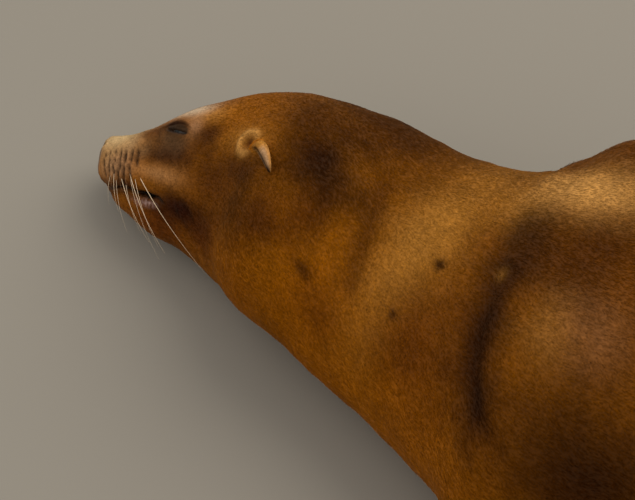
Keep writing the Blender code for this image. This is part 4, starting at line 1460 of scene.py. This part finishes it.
def whisker(side, place, angle, vector, radius):
    """The points, triangles and colours of one whisker."""
    way = heading(np.array(place))
    back = np.array([math.cos(way), math.sin(way), 0.0])
    left = np.array([math.sin(way), -math.cos(way), 0.0])
    root = surface(place, side * angle) + SHIFT
    out = outward(place, side * angle)
    tip = root + back * vector[0] + left * vector[1] - np.array([0, 0, vector[2]])
    if radius == SHORT_WHISKER:
        tip += out * 0.4 * np.linalg.norm(tip - root)
    tip[2] = max(tip[2], WHISKER_TIP_LOWEST)
    bow = (out * 0.13 + np.array([0, 0, 0.02])) * np.linalg.norm(tip - root)
    points, faces = tube_arrays(whisker_rings(root - out * 0.002, tip, bow, radius))
    share = np.concatenate([np.repeat(np.linspace(0, 1, WHISKER_RINGS), WHISKER_SIDES), [0, 1]])
    pale = WHISKER_DULL if radius == SHORT_WHISKER else WHISKER_PALE
    return points, faces, WHISKER_ROOT + (pale - WHISKER_ROOT) * ease(share, 0.0, 0.05)[:, None]


def make_whiskers():
    finish = whisker_material()
    for name, side in (("left", 1), ("right", -1)):
        make_tubes("whiskers_" + name, [whisker(side, *path) for path in whisker_paths(side)], finish, "coat")


# ---------------------------------------------------------------- putting it together
parts, known = build_skin_parts()
skin = join_skin(parts)
points, nearest, edges, from_joint = smooth_joints(skin, known[0], known[1])
facts = describe(skin, points, *(values[nearest] for values in known[1:]))
# the colours of the body and a flipper run into each other where they meet
relax(facts["colour"], edges, 0.9 * (1 - ease(from_joint, 0.012, 0.050)), 200)
point_colours(skin.data, facts["colour"])
point_numbers(skin.data, "bare", facts["bare"])
point_numbers(skin.data, "lie", facts["lie"])
skin.data.shade_smooth()
skin.data.materials.clear()
finish_piece(skin, skin_material(), "bare_skin", "head", "neck", "chest", "belly", "hindquarters", "tail",
             "ear_left", "ear_right", "fore_flipper_left", "fore_flipper_right", "hind_flipper_left",
             "hind_flipper_right")
coat_finish = coat_material()
for coat_piece in grow_coat(skin, facts):
    finish_piece(coat_piece, coat_finish, "coat")
make_eyes()
make_claws()
make_whiskers()

# ---------------------------------------------------------------- floor, light and camera
floor_mesh = fast_mesh("floor", np.array([(-9, -9, 0), (9, -9, 0), (9, 9, 0), (-9, 9, 0)], float),
                       np.array([(0, 1, 2), (0, 2, 3)]))
floor = linked("floor", floor_mesh)
plain, _, plain_shader = shader_of("plain_floor", 0.9, Specular_IOR_Level=0.1)
plain_shader.inputs["Base Color"].default_value = (*FLOOR_GREY, 1)
floor_mesh.materials.append(plain)

NOSE = surface(0.0, 0.0) + SHIFT
TARGET = Vector((NOSE[0] + 0.2785, NOSE[1] - 0.0043, 0.08))  # what the camera and the lights look at


def area_light(name, at, size, watts, colour):
    """A soft square light that looks at the animal."""
    light = bpy.data.lights.new(name, "AREA")
    light.size = size
    light.energy = watts
    light.color = colour
    obj = linked(name, light)
    obj.location = at
    obj.rotation_euler = (TARGET - Vector(at)).to_track_quat("-Z", "Y").to_euler()


area_light("key", (0.3, 1.7, 3.0), 3.0, 58, (1.0, 0.95, 0.88))
area_light("fill", (-2.4, -1.6, 3.0), 3.4, 26, (1.0, 0.98, 0.95))
world = bpy.data.worlds.new("studio")
world.use_nodes = True
sky = world.node_tree.nodes["Background"]
sky.inputs["Color"].default_value = (1, 1, 1, 1)
sky.inputs["Strength"].default_value = 0.58
bpy.context.scene.world = world
bpy.context.scene.view_settings.view_transform = "Standard"

# the way up and round to the camera, and how far off it is
VIEW_HEIGHT, VIEW_AZIMUTH, VIEW_DISTANCE = math.radians(54), math.radians(30), 3.6
camera = bpy.data.cameras.new("camera")
camera.sensor_width = 36
camera.lens = 192.5
viewer = linked("camera", camera)
level = math.cos(VIEW_HEIGHT)
toward = Vector((math.sin(VIEW_AZIMUTH) * level, -math.cos(VIEW_AZIMUTH) * level, math.sin(VIEW_HEIGHT)))
viewer.location = TARGET + toward * VIEW_DISTANCE
viewer.rotation_euler = toward.to_track_quat("Z", "Y").to_euler()
bpy.context.scene.camera = viewer
